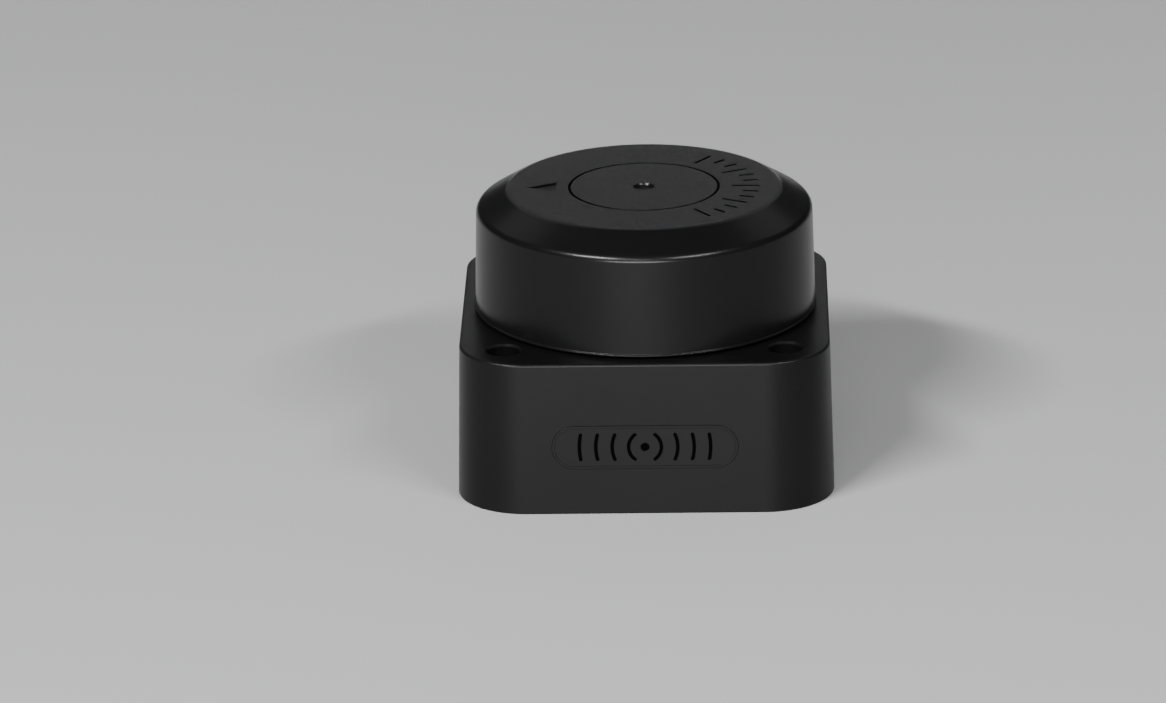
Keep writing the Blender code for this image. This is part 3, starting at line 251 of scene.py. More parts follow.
# Fineness
WELD = 0.0005 * MM
WIRE_WELD = 0.001 * MM
ROUND_STEPS = 256
FINE_STEPS = 96
SMALL_STEPS = 48
HOLE_STEPS = 32
FINE_BEND_STEPS = 8
BEND_STEPS = 4
CREASE = math.radians(38)
WIRE_CREASE = math.radians(60)

# The part of a noise texture's range that most of its values are in
NOISE_LOW = 0.3
NOISE_HIGH = 0.7


# Outlines: lists of points


def arc(radius, start, end, steps, centre=(0.0, 0.0)):
    angles = [start + (end - start) * i / steps for i in range(steps + 1)]
    return [(centre[0] + radius * math.cos(a), centre[1] + radius * math.sin(a)) for a in angles]


def circle(radius, steps=SMALL_STEPS, centre=(0.0, 0.0)):
    return arc(radius, 0.0, math.tau, steps, centre)[:-1]


def polar(radius, angle):
    return (radius * math.cos(angle), radius * math.sin(angle))


def on_ring(radius, degrees):
    return [polar(radius, math.radians(a)) for a in degrees]


def moved(points, x, y):
    return [(px + x, py + y) for px, py in points]


def turned_about(points, angle):
    c, s = math.cos(angle), math.sin(angle)
    return [(c * x - s * y, s * x + c * y) for x, y in points]


def level(points, z):
    return [(x, y, z) for x, y in points]


def upright(points, y, middle):
    """The outline stood up at a depth y, with its own Y upwards from the middle height."""
    return [(px, y, middle + py) for px, py in points]


def rounded_box(half_x, half_y, radius, steps=16):
    """A rectangle with round corners, anticlockwise from the +X +Y corner."""
    points = []
    for i, (sx, sy) in enumerate([(1, 1), (-1, 1), (-1, -1), (1, -1)]):
        centre = (sx * (half_x - radius), sy * (half_y - radius))
        points += arc(radius, i * QUARTER, (i + 1) * QUARTER, steps, centre)
    return points


def stadium(width, height, steps=24):
    """A bar with round ends. Its two halves have the same number of points at any size."""
    reach = (width - height) / 2
    right = arc(height / 2, -QUARTER, QUARTER, steps, (reach, 0.0))
    left = arc(height / 2, QUARTER, 3 * math.pi / 2, steps, (-reach, 0.0))
    return right + left


def arc_bar(radius, half_angle, stroke, steps=24):
    """An arc stroke of constant width with round ends, symmetric about +X."""
    half = stroke / 2
    outer = arc(radius + half, -half_angle, half_angle, steps)
    inner = arc(radius - half, half_angle, -half_angle, steps)
    tip_low = arc(half, math.pi, math.tau, 8, (radius, 0.0))[1:-1]
    tip_high = arc(half, 0.0, math.pi, 8, (radius, 0.0))[1:-1]
    return turned_about(tip_low, -half_angle) + outer + turned_about(tip_high, half_angle) + inner


def grown(outline, by):
    """The outline with every side moved out by a distance. The outline runs anticlockwise."""
    points = []
    for i, here in enumerate(outline):
        before = (Vector(here) - Vector(outline[i - 1])).normalized()
        after = (Vector(outline[(i + 1) % len(outline)]) - Vector(here)).normalized()
        out = Vector((before.y + after.y, -before.x - after.x))
        out /= 1.0 + before.dot(after)
        points.append((here[0] + by * out.x, here[1] + by * out.y))
    return points


# Profiles: lists of (r, z) and (r, z, fillet) corners


def washer(inner, outer, low, high, edge):
    return [(inner, high, edge), (outer, high, edge), (outer, low, edge), (inner, low, edge)]


def solid(corners):
    """The corners, with both ends carried in to the axis."""
    return [(0.0, corners[0][1]), *corners, (0.0, corners[-1][1])]


def rounded(corners, steps):
    """The profile's points: a corner with a fillet becomes an arc tangent to both sides."""
    points = []
    for i, (r, z, *fillet) in enumerate(corners):
        if not any(fillet):
            points.append((r, z))
            continue
        here = Vector((r, z))
        before = (Vector(corners[i - 1][:2]) - here).normalized()
        after = (Vector(corners[(i + 1) % len(corners)][:2]) - here).normalized()
        half_angle = before.angle(after) / 2
        back = fillet[0] / math.tan(half_angle)
        centre = here + (before + after).normalized() * fillet[0] / math.sin(half_angle)
        first, last = here + before * back - centre, here + after * back - centre
        start = math.atan2(first.y, first.x)
        sweep = (math.atan2(last.y, last.x) - start + math.pi) % math.tau - math.pi
        points += arc(fillet[0], start, start + sweep, steps, tuple(centre))
    return points


# Meshes


def to_mesh(bm):
    bmesh.ops.recalc_face_normals(bm, faces=bm.faces)
    mesh = bpy.data.meshes.new("shape")
    bm.to_mesh(mesh)
    bm.free()
    return mesh


def merged(meshes, weld=0.0):
    """One mesh of several, which are used up."""
    bm = bmesh.new()
    for mesh in meshes:
        bm.from_mesh(mesh)
        bpy.data.meshes.remove(mesh)
    if weld:
        bmesh.ops.remove_doubles(bm, verts=bm.verts, dist=weld)
    return to_mesh(bm)


def loft(sections):
    """A closed solid through sections of equally many points, capped at both ends."""
    bm = bmesh.new()
    rings = [[bm.verts.new(p) for p in section] for section in sections]
    for lower, upper in zip(rings, rings[1:]):
        for i in range(len(lower)):
            j = (i + 1) % len(lower)
            bm.faces.new((lower[i], lower[j], upper[j], upper[i]))
    bm.faces.new(rings[0][::-1])
    bm.faces.new(rings[-1])
    return to_mesh(bm)


def lathe(corners, steps=FINE_STEPS, bend_steps=BEND_STEPS):
    """Turns a profile about Z. Its ends meet the axis, or else it closes into a ring."""
    bm = bmesh.new()
    rings = []
    for r, z in rounded(corners, bend_steps):
        if r == 0.0:
            rings.append([bm.verts.new((0.0, 0.0, z))] * steps)
            continue
        points = [(*polar(r, math.tau * i / steps), z) for i in range(steps)]
        rings.append([bm.verts.new(p) for p in points])
    if corners[0][0] or corners[-1][0]:
        rings.append(rings[0])
    for upper, lower in zip(rings, rings[1:]):
        for i in range(steps):
            j = (i + 1) % steps
            bm.faces.new(list(dict.fromkeys((upper[i], upper[j], lower[j], lower[i]))))
    return to_mesh(bm)


def prism(outlines, low, high):
    """One mesh of flat-ended solids, one over each outline, from z low to z high."""
    return merged([loft([level(outline, low), level(outline, high)]) for outline in outlines])


def rods(places, radius, low, high, steps=HOLE_STEPS):
    return prism([circle(radius, steps, place) for place in places], low, high)


def slab(outline, low, high, edge):
    """A flat-ended solid over an anticlockwise outline, with its top and bottom edges eased."""
    inner = grown(outline, -edge)
    sections = [level(inner, low), level(outline, low + edge)]
    return loft([*sections, level(outline, high - edge), level(inner, high)])


def engraver(outlines, depth, surface):
    """Cutters for marks of a depth in a level surface, each with a small chamfer round its mouth."""
    cutters = []
    for outline in outlines:
        mouth = level(grown(outline, 2 * MARK_EDGE), surface + MARK_EDGE)
        cutters.append(loft([level(outline, surface - depth), level(outline, surface - MARK_EDGE), mouth]))
    return merged(cutters)


def placed(mesh, matrix):
    mesh.transform(matrix)
    return mesh


def at(x=0.0, y=0.0, z=0.0):
    return Matrix.Translation((x, y, z))


def turn(angle, axis):
    return Matrix.Rotation(angle, 4, axis)


# Pieces


def piece(name, data, *cutters, place=None):
    """An object of the mesh, light or camera, less the cutters, and then moved to its place."""
    obj = bpy.data.objects.new(name, data)
    bpy.context.scene.collection.objects.link(obj)
    cut(obj, *cutters)
    if place is not None:
        obj.data.transform(place)
    return obj


def settled(obj):
    """The object's mesh, with all that is done to it worked in."""
    bpy.context.view_layer.update()
    graph = bpy.context.evaluated_depsgraph_get()
    return bpy.data.meshes.new_from_object(obj.evaluated_get(graph))


def combine(obj, mesh, operation):
    """Joins the mesh to the object or cuts it away, for good."""
    helper = piece("helper", mesh)
    modifier = obj.modifiers.new("combine", "BOOLEAN")
    modifier.operation = operation
    modifier.solver = "EXACT"
    modifier.object = helper
    made = settled(obj)
    obj.modifiers.clear()
    obj.data = made
    bpy.data.objects.remove(helper)
    bm = bmesh.new()
    bm.from_mesh(made)
    bmesh.ops.remove_doubles(bm, verts=bm.verts, dist=WELD)
    bmesh.ops.dissolve_degenerate(bm, edges=bm.edges, dist=WELD)
    bm.to_mesh(made)
    bm.free()


def cut(obj, *meshes):
    for mesh in meshes:
        combine(obj, mesh, "DIFFERENCE")


def fuse(obj, *meshes):
    for mesh in meshes:
        combine(obj, mesh, "UNION")


def dress(obj, body, slot, *nodes, sharp=CREASE):
    """Smooth shading with crisp edges, the slot's material, and the piece's place in the frame."""
    mesh = obj.data
    mesh.materials.clear()
    mesh.materials.append(MATERIALS[slot])
    for polygon in mesh.polygons:
        polygon.material_index = 0
    mesh.shade_smooth()
    mesh.set_sharp_from_angle(angle=sharp)
    weighted = obj.modifiers.new("even_normals", "WEIGHTED_NORMAL")
    weighted.keep_sharp = True
    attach(obj, body)
    if nodes:
        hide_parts(*nodes)


def fine(node, mesh, body, slot, *cutters, place=None, sharp=CREASE):
    """The piece that replaces a node."""
    dress(piece(f"fine_{node}", mesh, *cutters, place=place), body, slot, node, sharp=sharp)


def turned(node, corners, body, slot, *cutters):
    fine(node, lathe(corners), body, slot, *cutters)


def ring(node, inner, edge, body, slot, *cutters):
    """A ring as wide and as high as the node, with an inner radius."""
    low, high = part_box(node)
    turned(node, washer(inner, high.x, low.z, high.z, edge), body, slot, *cutters)


# Materials

MATERIALS = {}


def set_inputs(node, values):
    for name, value in values.items():
        node.inputs[name].default_value = value
    return node


def shader_of(material):
    return material.node_tree.nodes["Principled BSDF"]


def new_material(name, values):
    """A material whose shader has these values. It is kept under its name."""
    material = bpy.data.materials.new(name)
    material.use_nodes = True
    set_inputs(shader_of(material), values)
    MATERIALS[name] = material
    return material


def noise(material, scale, detail, rough=0.55):
    """A noise texture in the piece's own metres, so its scale is in features a metre."""
    tree = material.node_tree
    place = tree.nodes.get("Texture Coordinate") or tree.nodes.new("ShaderNodeTexCoord")
    values = {"Scale": scale, "Detail": detail, "Roughness": rough}
    node = set_inputs(tree.nodes.new("ShaderNodeTexNoise"), values)
    tree.links.new(place.outputs["Object"], node.inputs["Vector"])
    return node.outputs["Fac"]


def tinted(material, colour, spread, *texture):
    """A colour that wanders darker and lighter with a noise texture."""
    tree = material.node_tree
    value = noise(material, *texture)
    ramp = tree.nodes.new("ShaderNodeValToRGB")
    ends = ((NOISE_LOW, 1 - spread), (NOISE_HIGH, 1 + spread))
    for element, (position, shade) in zip(ramp.color_ramp.elements, ends):
        element.position = position
        element.color = (*[c * shade for c in colour], 1.0)
    tree.links.new(value, ramp.inputs["Fac"])
    tree.links.new(ramp.outputs["Color"], shader_of(material).inputs["Base Color"])


def glossed(material, roughness, spread, *texture):
    """A roughness that wanders with a noise texture."""
    tree = material.node_tree
    value = noise(material, *texture)
    values = {"From Min": NOISE_LOW, "From Max": NOISE_HIGH}
    values |= {"To Min": roughness - spread, "To Max": roughness + spread}
    node = set_inputs(tree.nodes.new("ShaderNodeMapRange"), values)
    tree.links.new(value, node.inputs["Value"])
    tree.links.new(node.outputs["Result"], shader_of(material).inputs["Roughness"])


def bumped(material, height, *texture):
    """Relief of the given height in metres."""
    tree = material.node_tree
    value = noise(material, *texture)
    bump = set_inputs(tree.nodes.new("ShaderNodeBump"), {"Strength": 1.0, "Distance": height})
    tree.links.new(value, bump.inputs["Height"])
    tree.links.new(bump.outputs["Normal"], shader_of(material).inputs["Normal"])


def moulded(name, colour, roughness, grain=0.17 * MM, relief=0.002 * MM, specular=0.5, spread=0.08):
    """Moulded plastic: faint cloudiness in colour and gloss, and a fine spark-eroded grain."""
    material = new_material(name, {"Specular IOR Level": specular})
    tinted(material, colour, spread, 60.0, 3.0)
    glossed(material, roughness, 0.006, 900.0, 5.0)
    bumped(material, relief, 1.0 / grain, 2.0, 0.6)


def metal(name, colour, roughness):
    """Machined or plated metal with a fine uneven gloss."""
    material = new_material(name, {"Metallic": 1.0})
    tinted(material, colour, 0.04, 400.0, 4.0)
    glossed(material, roughness, 0.04, 2500.0, 4.0)
    bumped(material, 0.0005 * MM, 5000.0, 2.0)


def sintered(name, colour, roughness, metallic=0.3):
    """Pressed powder or laminations: dark and granular."""
    material = new_material(name, {"Metallic": metallic, "Roughness": roughness})
    tinted(material, colour, 0.25, 3000.0, 5.0)
    bumped(material, 0.01 * MM, 5000.0, 3.0)


def make_materials():
    black = (0.003, 0.003, 0.0032)
    moulded("housing_plastic", black, 0.33, specular=0.14)
    moulded("head_plastic", black, 0.26, relief=0.0006 * MM, specular=0.16)
    moulded("badge_plastic", black, 0.34, specular=0.14)
    moulded("inner_plastic", (0.02, 0.02, 0.021), 0.5)
    moulded("header_plastic", (0.72, 0.68, 0.58), 0.45, spread=0.03)
    moulded("circuit_board", (0.012, 0.09, 0.045), 0.3, 0.5 * MM, spread=0.15)
    moulded("chip", (0.022, 0.022, 0.024), 0.5, 0.08 * MM)
    metal("steel", (0.58, 0.58, 0.6), 0.28)
    metal("black_steel", (0.035, 0.035, 0.038), 0.38)
    metal("brass", (0.74, 0.54, 0.24), 0.28)
    metal("aluminium", (0.76, 0.77, 0.79), 0.34)
    metal("copper", (0.72, 0.32, 0.14), 0.3)
    sintered("ferrite", (0.05, 0.05, 0.054), 0.6)
    sintered("magnet", (0.16, 0.16, 0.17), 0.45)
    sintered("core_steel", (0.3, 0.3, 0.31), 0.45, 0.9)
    glass = new_material("lens_glass", {"Roughness": 0.04, "Transmission Weight": 0.7, "IOR": 1.52})
    tinted(glass, (0.5, 0.08, 0.1), 0.05, 200.0, 2.0)
    # Dull black, for the ink in engraved marks and for the painted shade in the top disc's seam
    moulded("ink_and_painted_shade", (0.001, 0.001, 0.001), 0.9, 0.05 * MM, specular=0.0)


# Housing


def half_width(z):
    return FOOT_HALF - z * math.tan(TILT)


def square_section(z, inset=0.0):
    """The housing's outline at a height, moved in from its wall."""
    half = half_width(z) - inset
    radius = FOOT_CORNER + (DECK_CORNER - FOOT_CORNER) * z / DECK_Z - inset
    return level(rounded_box(half, half, radius, 24), z)


def fillet_sections(edge, z, upward, steps=6):
    """Sections of a rounded outer edge that ends at height z: the wall's end first."""
    sections = []
    for i in range(steps + 1):
        angle = QUARTER * i / steps
        inset = edge * (1 - math.cos(angle))
        back = edge * (1 - math.sin(angle))
        sections.append(square_section(z - back if upward else z + back, inset))
    return sections


def wells():
    half = WELL_PITCH / 2
    return [(-half, -half), (half, -half), (half, half), (-half, half)]


def well_cutter():
    """Counterbore with a chamfered mouth, and the screw hole under it."""
    corners = [(WELL_RADIUS + WELL_CHAMFER + MM, DECK_Z + MM), (WELL_RADIUS, DECK_Z - WELL_CHAMFER)]
    corners += [(WELL_RADIUS, WELL_FLOOR_Z), (SCREW_HOLE, WELL_FLOOR_Z), (SCREW_HOLE, POST_FOOT_Z - MM)]
    return lathe(solid(corners), SMALL_STEPS)


def port_section(y, wider):
    """The rear port's outline at a depth, made wider all round."""
    box = rounded_box(PORT_HALF + wider, PORT_HALF_Z + wider, PORT_CORNER + wider)
    return upright(box, y, PORT_Z)


def port_cutter():
    """A straight duct with a flared mouth in the wall."""
    face = half_width(PORT_Z)
    stations = [(face + MM, PORT_FLARE + MM), (face - PORT_FLARE, 0.0), (HEADER_HIGH.y - MM, 0.0)]
    return loft([port_section(y, wider) for y, wider in stations])


def front_face_place(z):
    """The front wall's surface at a height: X stays X, Y runs up the wall, Z points out of it."""
    return at(0.0, -half_width(z), z) @ turn(QUARTER - TILT, "X")


def housing():
    top = HOUSING_HIGH.z
    roof = DECK_Z - WALL
    foot = fillet_sections(FOOT_EDGE, 0.0, False)[::-1]
    obj = piece("housing", loft(foot + fillet_sections(DECK_EDGE, DECK_Z, True)))
    hollow_edge = 0.8 * MM
    hollow = [square_section(-MM, WALL), square_section(roof - hollow_edge, WALL)]
    hollow.append(level([p[:2] for p in square_section(roof - hollow_edge, WALL + hollow_edge)], roof))
    cut(obj, loft(hollow))
    for place in wells():
        fuse(obj, rods([place], POST_RADIUS, POST_FOOT_Z, DECK_Z - MM, SMALL_STEPS))
    boss_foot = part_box("link_board")[1].z + 0.3 * MM
    for angle in BOSS_ANGLES:
        fuse(obj, rods([polar(BOSS_RING, angle)], BOSS_RADIUS, boss_foot, DECK_Z - MM, SMALL_STEPS))
    collar = [(DECK_OPENING - MM, DECK_Z - MM), (DECK_OPENING - MM, top)]
    collar += [(DECK_OPENING + COLLAR_WALL, top, 0.2 * MM), (DECK_OPENING + COLLAR_WALL, DECK_Z - MM)]
    duct = [port_section(y, PORT_WALL) for y in (HEADER_HIGH.y + 0.3 * MM, FOOT_HALF - 1.2 * MM)]
    fuse(obj, lathe(collar, bend_steps=FINE_BEND_STEPS), loft(duct))
    opening = [(DECK_OPENING + 1.15 * MM, top + MM), (DECK_OPENING, top - 0.15 * MM)]
    cut(obj, port_cutter(), lathe(solid([*opening, (DECK_OPENING, roof - MM)])))
    for place in wells():
        cut(obj, placed(well_cutter(), at(*place)))
    pocket = stadium(BADGE_WIDTH + 2 * BADGE_GAP, BADGE_HEIGHT + 2 * BADGE_GAP)
    depth = BADGE_THICK + 0.2 * MM
    cut(obj, placed(prism([pocket], -depth, MM), front_face_place(BADGE_Z)))
    dress(obj, "base", "housing_plastic", "base_housing")


# Badge


def inked(name, marks, floor, body, place=None):
    """Dull black filling over the floors of engraved marks."""
    fill = [grown(mark, -INK_GAP) for mark in marks]
    dress_ink_and_painted_shade(piece(name, prism(fill, floor + INK_GAP, floor + INK_DEPTH), place=place), body)


# Dull black: the ink of engraved marks, and the painted shade that darkens the top disc's seam
def dress_ink_and_painted_shade(obj, body):
    dress(obj, body, "chip")
    obj.data.materials[0] = MATERIALS["ink_and_painted_shade"]


def pulse_marks():
    """A dot with arcs spreading to both sides: a ranging pulse."""
    marks = [circle(PULSE_DOT)]
    for side in (0.0, math.pi):
        for i in range(1, PULSE_COUNT + 1):
            radius = i * PULSE_STEP
            half_angle = math.asin(min(0.97, PULSE_HALF_HEIGHT / radius))
            marks.append(turned_about(arc_bar(radius, half_angle, STROKE), side))
    return marks


def front_badge():
    """A plate with a fine raised bead round its edge and the pulse engraved in it."""
    slope = BEAD_RISE - BADGE_EDGE
    profile = [(0.0, -BADGE_THICK), (0.0, slope), (BADGE_EDGE, BEAD_RISE)]
    profile += [(BEAD_WIDTH - BADGE_EDGE, BEAD_RISE), (BEAD_WIDTH, slope), (BEAD_WIDTH, 0.0)]
    plate = loft([level(stadium(BADGE_WIDTH - 2 * t, BADGE_HEIGHT - 2 * t), z) for t, z in profile])
    place = front_face_place(BADGE_Z)
    obj = piece("badge", plate, engraver(pulse_marks(), ENGRAVING, 0.0), place=place)
    dress(obj, "base", "badge_plastic", "front_badge")
    inked("pulse_ink", pulse_marks(), -ENGRAVING, "base", place)


# Head


def arrow_mark():
    """A triangle that points outwards at -X."""
    return [(-MARK_OUTER, 0.0), (-MARK_INNER, -ARROW_HALF), (-MARK_INNER, ARROW_HALF)]


def scale_marks():
    """An angle scale round +X."""
    marks = []
    for i in range(SCALE_TICKS):
        inner = MARK_INNER if i % LONG_TICK_EVERY == 0 else SHORT_TICK_INNER
        tick = moved(stadium(MARK_OUTER - inner, STROKE, 8), (inner + MARK_OUTER) / 2, 0.0)
        angle = SCALE_HALF_ANGLE * (2 * i / (SCALE_TICKS - 1) - 1)
        marks.append(turned_about(tick, angle))
    return marks


def head_cover():
    corners = [
        (DISC_SEAT, DISC_SEAT_Z),
        (DISC_SEAT, HEAD_TOP_Z, DISC_EDGE),
        (TOP_RADIUS, HEAD_TOP_Z, TOP_FILLET),
        (WALL_TOP_RADIUS, SHOULDER_Z, SHOULDER_FILLET),
        (WALL_FOOT_RADIUS, HEAD_FOOT_Z + LIP_HEIGHT, 0.1 * MM),
        (LIP_RADIUS, HEAD_FOOT_Z + LIP_SHOULDER, 0.15 * MM),
        (LIP_RADIUS, HEAD_FOOT_Z, 0.06 * MM),
        (WALL_FOOT_RADIUS - HEAD_WALL, HEAD_FOOT_Z, 0.2 * MM),
        (WALL_TOP_RADIUS - HEAD_WALL, SHOULDER_Z - 1.1 * MM, 0.5 * MM),
        (TOP_RADIUS - 0.5 * MM, ROOF_Z, 0.5 * MM),
    ]
    obj = piece("head", lathe(solid(corners), ROUND_STEPS, FINE_BEND_STEPS))
    seat = [(COVER_SEAT, DISC_SEAT_Z + MM), (COVER_SEAT, COVER_SEAT_Z)]
    seat += [(SCREW_PASSAGE, COVER_SEAT_Z), (SCREW_PASSAGE, COVER_BOSS_Z - MM)]
    for y in (-PILLAR_Y, PILLAR_Y):
        fuse(obj, rods([(0.0, y)], COVER_BOSS, COVER_BOSS_Z, ROOF_Z + 0.3 * MM, SMALL_STEPS))
        cut(obj, placed(lathe(solid(seat), SMALL_STEPS), at(0.0, y)))
    cut(obj, engraver([arrow_mark()] + scale_marks(), MARK_DEPTH, HEAD_TOP_Z))
    dress(obj, "scan_head", "head_plastic", "head_cover")
    inked("scale_ink", scale_marks(), HEAD_TOP_Z - MARK_DEPTH, "scan_head")


def top_disc():
    corners = [
        (DIMPLE_RADIUS - 0.05 * MM, HEAD_TOP_Z - DIMPLE_DEPTH, 0.1 * MM),
        (DIMPLE_RADIUS, HEAD_TOP_Z - DIMPLE_FLARE_DEPTH, 0.05 * MM),
        (DIMPLE_RADIUS + DIMPLE_FLARE, HEAD_TOP_Z, 0.04 * MM),
        (DISC_RADIUS, HEAD_TOP_Z, DISC_EDGE),
        (DISC_RADIUS, DISC_FOOT_Z, DISC_EDGE),
    ]
    obj = piece("disc", lathe(solid(corners), ROUND_STEPS, FINE_BEND_STEPS))
    dress(obj, "scan_head", "head_plastic", "top_disc")
    # A matte black ring in the gap between the disc and the head: painted shade that darkens the seam
    seam_shade = washer(DISC_RADIUS + SEAM_SHADE_GAP, DISC_SEAT - SEAM_SHADE_GAP, DISC_FOOT_Z, HEAD_TOP_Z - SEAM_SHADE_DROP, 0.0)
    dress_ink_and_painted_shade(piece("painted_seam_shade", lathe(seam_shade, ROUND_STEPS)), "scan_head")


# Underside, rear and fasteners


def bottom_cover():
    inset = WALL + COVER_GAP
    sections = [square_section(0.0, inset + COVER_EDGE), square_section(COVER_EDGE, inset)]
    obj = piece("underside_cover", loft([*sections, square_section(COVER_THICK, inset)]))
    boss_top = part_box("bottom_cover")[1].z
    clear, mouth = STANDOFF_RADIUS + 0.1 * MM, STANDOFF_RADIUS + 0.3 * MM
    bore = solid([(clear, boss_top + MM), (clear, 0.2 * MM), (mouth, -0.001 * MM), (mouth, -MM)])
    for place in wells():
        fuse(obj, rods([place], FOOT_BOSS, MM, boss_top, SMALL_STEPS))
        cut(obj, placed(lathe(bore, SMALL_STEPS), at(*place)))
    ejectors = [polar(EJECTOR_RING, i * QUARTER) for i in range(4)]
    cut(obj, prism([rounded_box(*LABEL_HALF, 1.0 * MM)], -MM, LABEL_DEPTH))
    cut(obj, rods(ejectors, EJECTOR_RADIUS, -MM, EJECTOR_DEPTH, SMALL_STEPS))
    dress(obj, "base", "inner_plastic", "bottom_cover")


def thread(radius, depth, low, high, pitch):
    """Points up a threaded wall: each turn's crest is at the radius, and its root the depth further on."""
    turns = int((high - low) / pitch)
    points = []
    for i in range(turns):
        foot = low + i * pitch
        points += [(radius, foot), (radius, foot + 0.15 * pitch), (radius + depth, foot + 0.6 * pitch)]
    return [*points, (radius, low + turns * pitch)]


def standoffs():
    lead_in = 0.4 * MM
    wall, mouth = STANDOFF_RADIUS - STANDOFF_EDGE, THREAD_BORE + 0.3 * MM
    profile = [(wall, STANDOFF_TOP_Z), (STANDOFF_RADIUS, STANDOFF_TOP_Z - STANDOFF_EDGE)]
    profile += [(STANDOFF_RADIUS, STANDOFF_EDGE), (wall, 0.0), (mouth, 0.0)]
    profile += thread(THREAD_BORE, THREAD_DEPTH, lead_in, STANDOFF_TOP_Z - lead_in, THREAD_PITCH)
    profile.append((mouth, STANDOFF_TOP_Z))
    for i, (x, y) in enumerate(wells(), 1):
        obj = piece(f"threaded_standoff_{i}", lathe(profile, SMALL_STEPS), place=at(x, y))
        dress(obj, "base", "brass", f"standoff_{i}")


def screw_mesh(head, height, shank, length):
    """A socket-head screw, its seat at z = 0, with a hexagon socket and a threaded shank."""
    threads = thread(shank - 0.1 * MM, 0.1 * MM, -length + 0.4 * MM, -0.5 * MM, 0.4 * MM)[::-1]
    corners = [(head, height, 0.12 * head), (head, 0.0, 0.03 * head), (shank, 0.0)]
    corners += [*threads, (shank * 0.6, -length)]
    socket = prism([circle(head * 0.52, 6)], height * 0.45, height + MM)
    countersink = [(head * 0.75, height + 0.2 * head), (head * 0.4, height - 0.15 * head)]
    countersink = lathe(solid(countersink), SMALL_STEPS)
    obj = piece("screw", lathe(solid(corners), SMALL_STEPS), socket, countersink)
    mesh = obj.data
    bpy.data.objects.remove(obj)
    return mesh


def screws():
    """Fine screws over every CAD screw, sized by that screw's own box."""
    kinds = [
        ("case_screw", "base", "black_steel", 1.05 * MM, 7.0 * MM, False),
        ("motor_screw", "base", "steel", 0.7 * MM, 4.8 * MM, False),
        ("link_board_screw", "base", "steel", 0.65 * MM, 3.0 * MM, True),
        ("platform_screw", "scan_head", "steel", 0.6 * MM, 4.0 * MM, False),
        ("cover_screw", "scan_head", "black_steel", 0.7 * MM, 5.0 * MM, False),
    ]
    for kind, body, slot, shank, length, upside_down in kinds:
        low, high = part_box(f"{kind}_1")
        mesh = screw_mesh((high.x - low.x) / 2, high.z - low.z - length, shank, length)
        if upside_down:
            mesh.transform(turn(math.pi, "X"))
        for node in sorted(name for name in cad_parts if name.startswith(kind)):
            low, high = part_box(node)
            seat = high.z - length if upside_down else low.z + length
            place = at((low.x + high.x) / 2, (low.y + high.y) / 2, seat)
            fine(node, mesh.copy(), body, slot, place=place)


def connector_header():
    middle = (HEADER_LOW.z + HEADER_HIGH.z) / 2
    half_x, half_z = HEADER_HIGH.x, (HEADER_HIGH.z - HEADER_LOW.z) / 2
    edge = 0.2 * MM

    def section(y, inset, radius=0.4 * MM):
        return upright(rounded_box(half_x - inset, half_z - inset, radius, 6), y, middle)

    mouth, back = HEADER_HIGH.y, HEADER_LOW.y
    shell = [section(back, edge), section(back + edge, 0.0), section(mouth - edge, 0.0), section(mouth, edge)]
    socket = [section(y, SOCKET_WALL, 0.2 * MM) for y in (SOCKET_FLOOR_Y, mouth - 0.3 * MM)]
    socket.append(section(mouth + 0.1 * MM, SOCKET_WALL - 0.4 * MM, 0.3 * MM))
    obj = piece("plug_header", loft(shell), loft(socket))
    for x in (-KEY_X, KEY_X):
        key = prism([moved(rounded_box(0.6 * MM, 1.5 * MM, 0.2 * MM, 4), x, 0.0)], 0.0, half_z + MM)
        cut(obj, placed(key, at(0.0, mouth - 0.4 * MM, middle)))
    dress(obj, "base", "header_plastic", "connector_header")
    stations = [(SOCKET_FLOOR_Y - 0.5 * MM, PIN_HALF), (PIN_TIP_Y - 0.5 * MM, PIN_HALF)]
    stations.append((PIN_TIP_Y, 0.4 * PIN_HALF))
    for i in range(PIN_COUNT):
        x = (i - (PIN_COUNT - 1) / 2) * PIN_PITCH
        squares = [(moved(rounded_box(half, half, 0.2 * half, 3), x, 0.0), y) for y, half in stations]
        pin = loft([upright(square, y, middle) for square, y in squares])
        dress(piece(f"header_pin_{i + 1}", pin), "base", "brass")


# Motor, bearings and power link: finer versions of the CAD's solids, each inside its own solid


def race(node, body, land, middle, towards):
    """One ring of a bearing: a wall, a land with the ball groove in it, and rounded corners."""
    low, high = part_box(node)
    outer = towards == 0.0
    wall = high.x if outer else BEARING_BORE
    reach = math.acos(abs(land - BALL_CIRCLE) / GROOVE_RADIUS)
    track = arc(GROOVE_RADIUS, towards - reach, towards + reach, 12, (BALL_CIRCLE, middle))
    edge = 0.15 * MM
    corners = [(land, high.z), (wall, high.z, edge), (wall, low.z, edge), (land, low.z)]
    turned(node, corners + track if outer else track + corners[::-1], body, "steel")


def bearings():
    for which in ("lower", "upper"):
        cage = f"{which}_bearing_balls"
        low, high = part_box(cage)
        middle = (low.z + high.z) / 2
        race(f"{which}_bearing_outer", "base", OUTER_SHOULDER, middle, 0.0)
        race(f"{which}_bearing_inner", "scan_head", INNER_SHOULDER, middle, math.pi)
        wall = (BALL_CIRCLE - CAGE_HALF_WALL, BALL_CIRCLE + CAGE_HALF_WALL)
        hoop = washer(*wall, middle - CAGE_HALF_HEIGHT, middle + CAGE_HALF_HEIGHT, 0.05 * MM)
        obj = piece(f"fine_{cage}", lathe(hoop))
        bm = bmesh.new()
        for i in range(BALL_COUNT):
            place = at(*polar(BALL_CIRCLE, math.tau * i / BALL_COUNT), middle)
            bmesh.ops.create_uvsphere(bm, u_segments=32, v_segments=16, radius=BALL_RADIUS, matrix=place)
        fuse(obj, to_mesh(bm))
        dress(obj, f"{which}_ball_cage", "steel", cage)


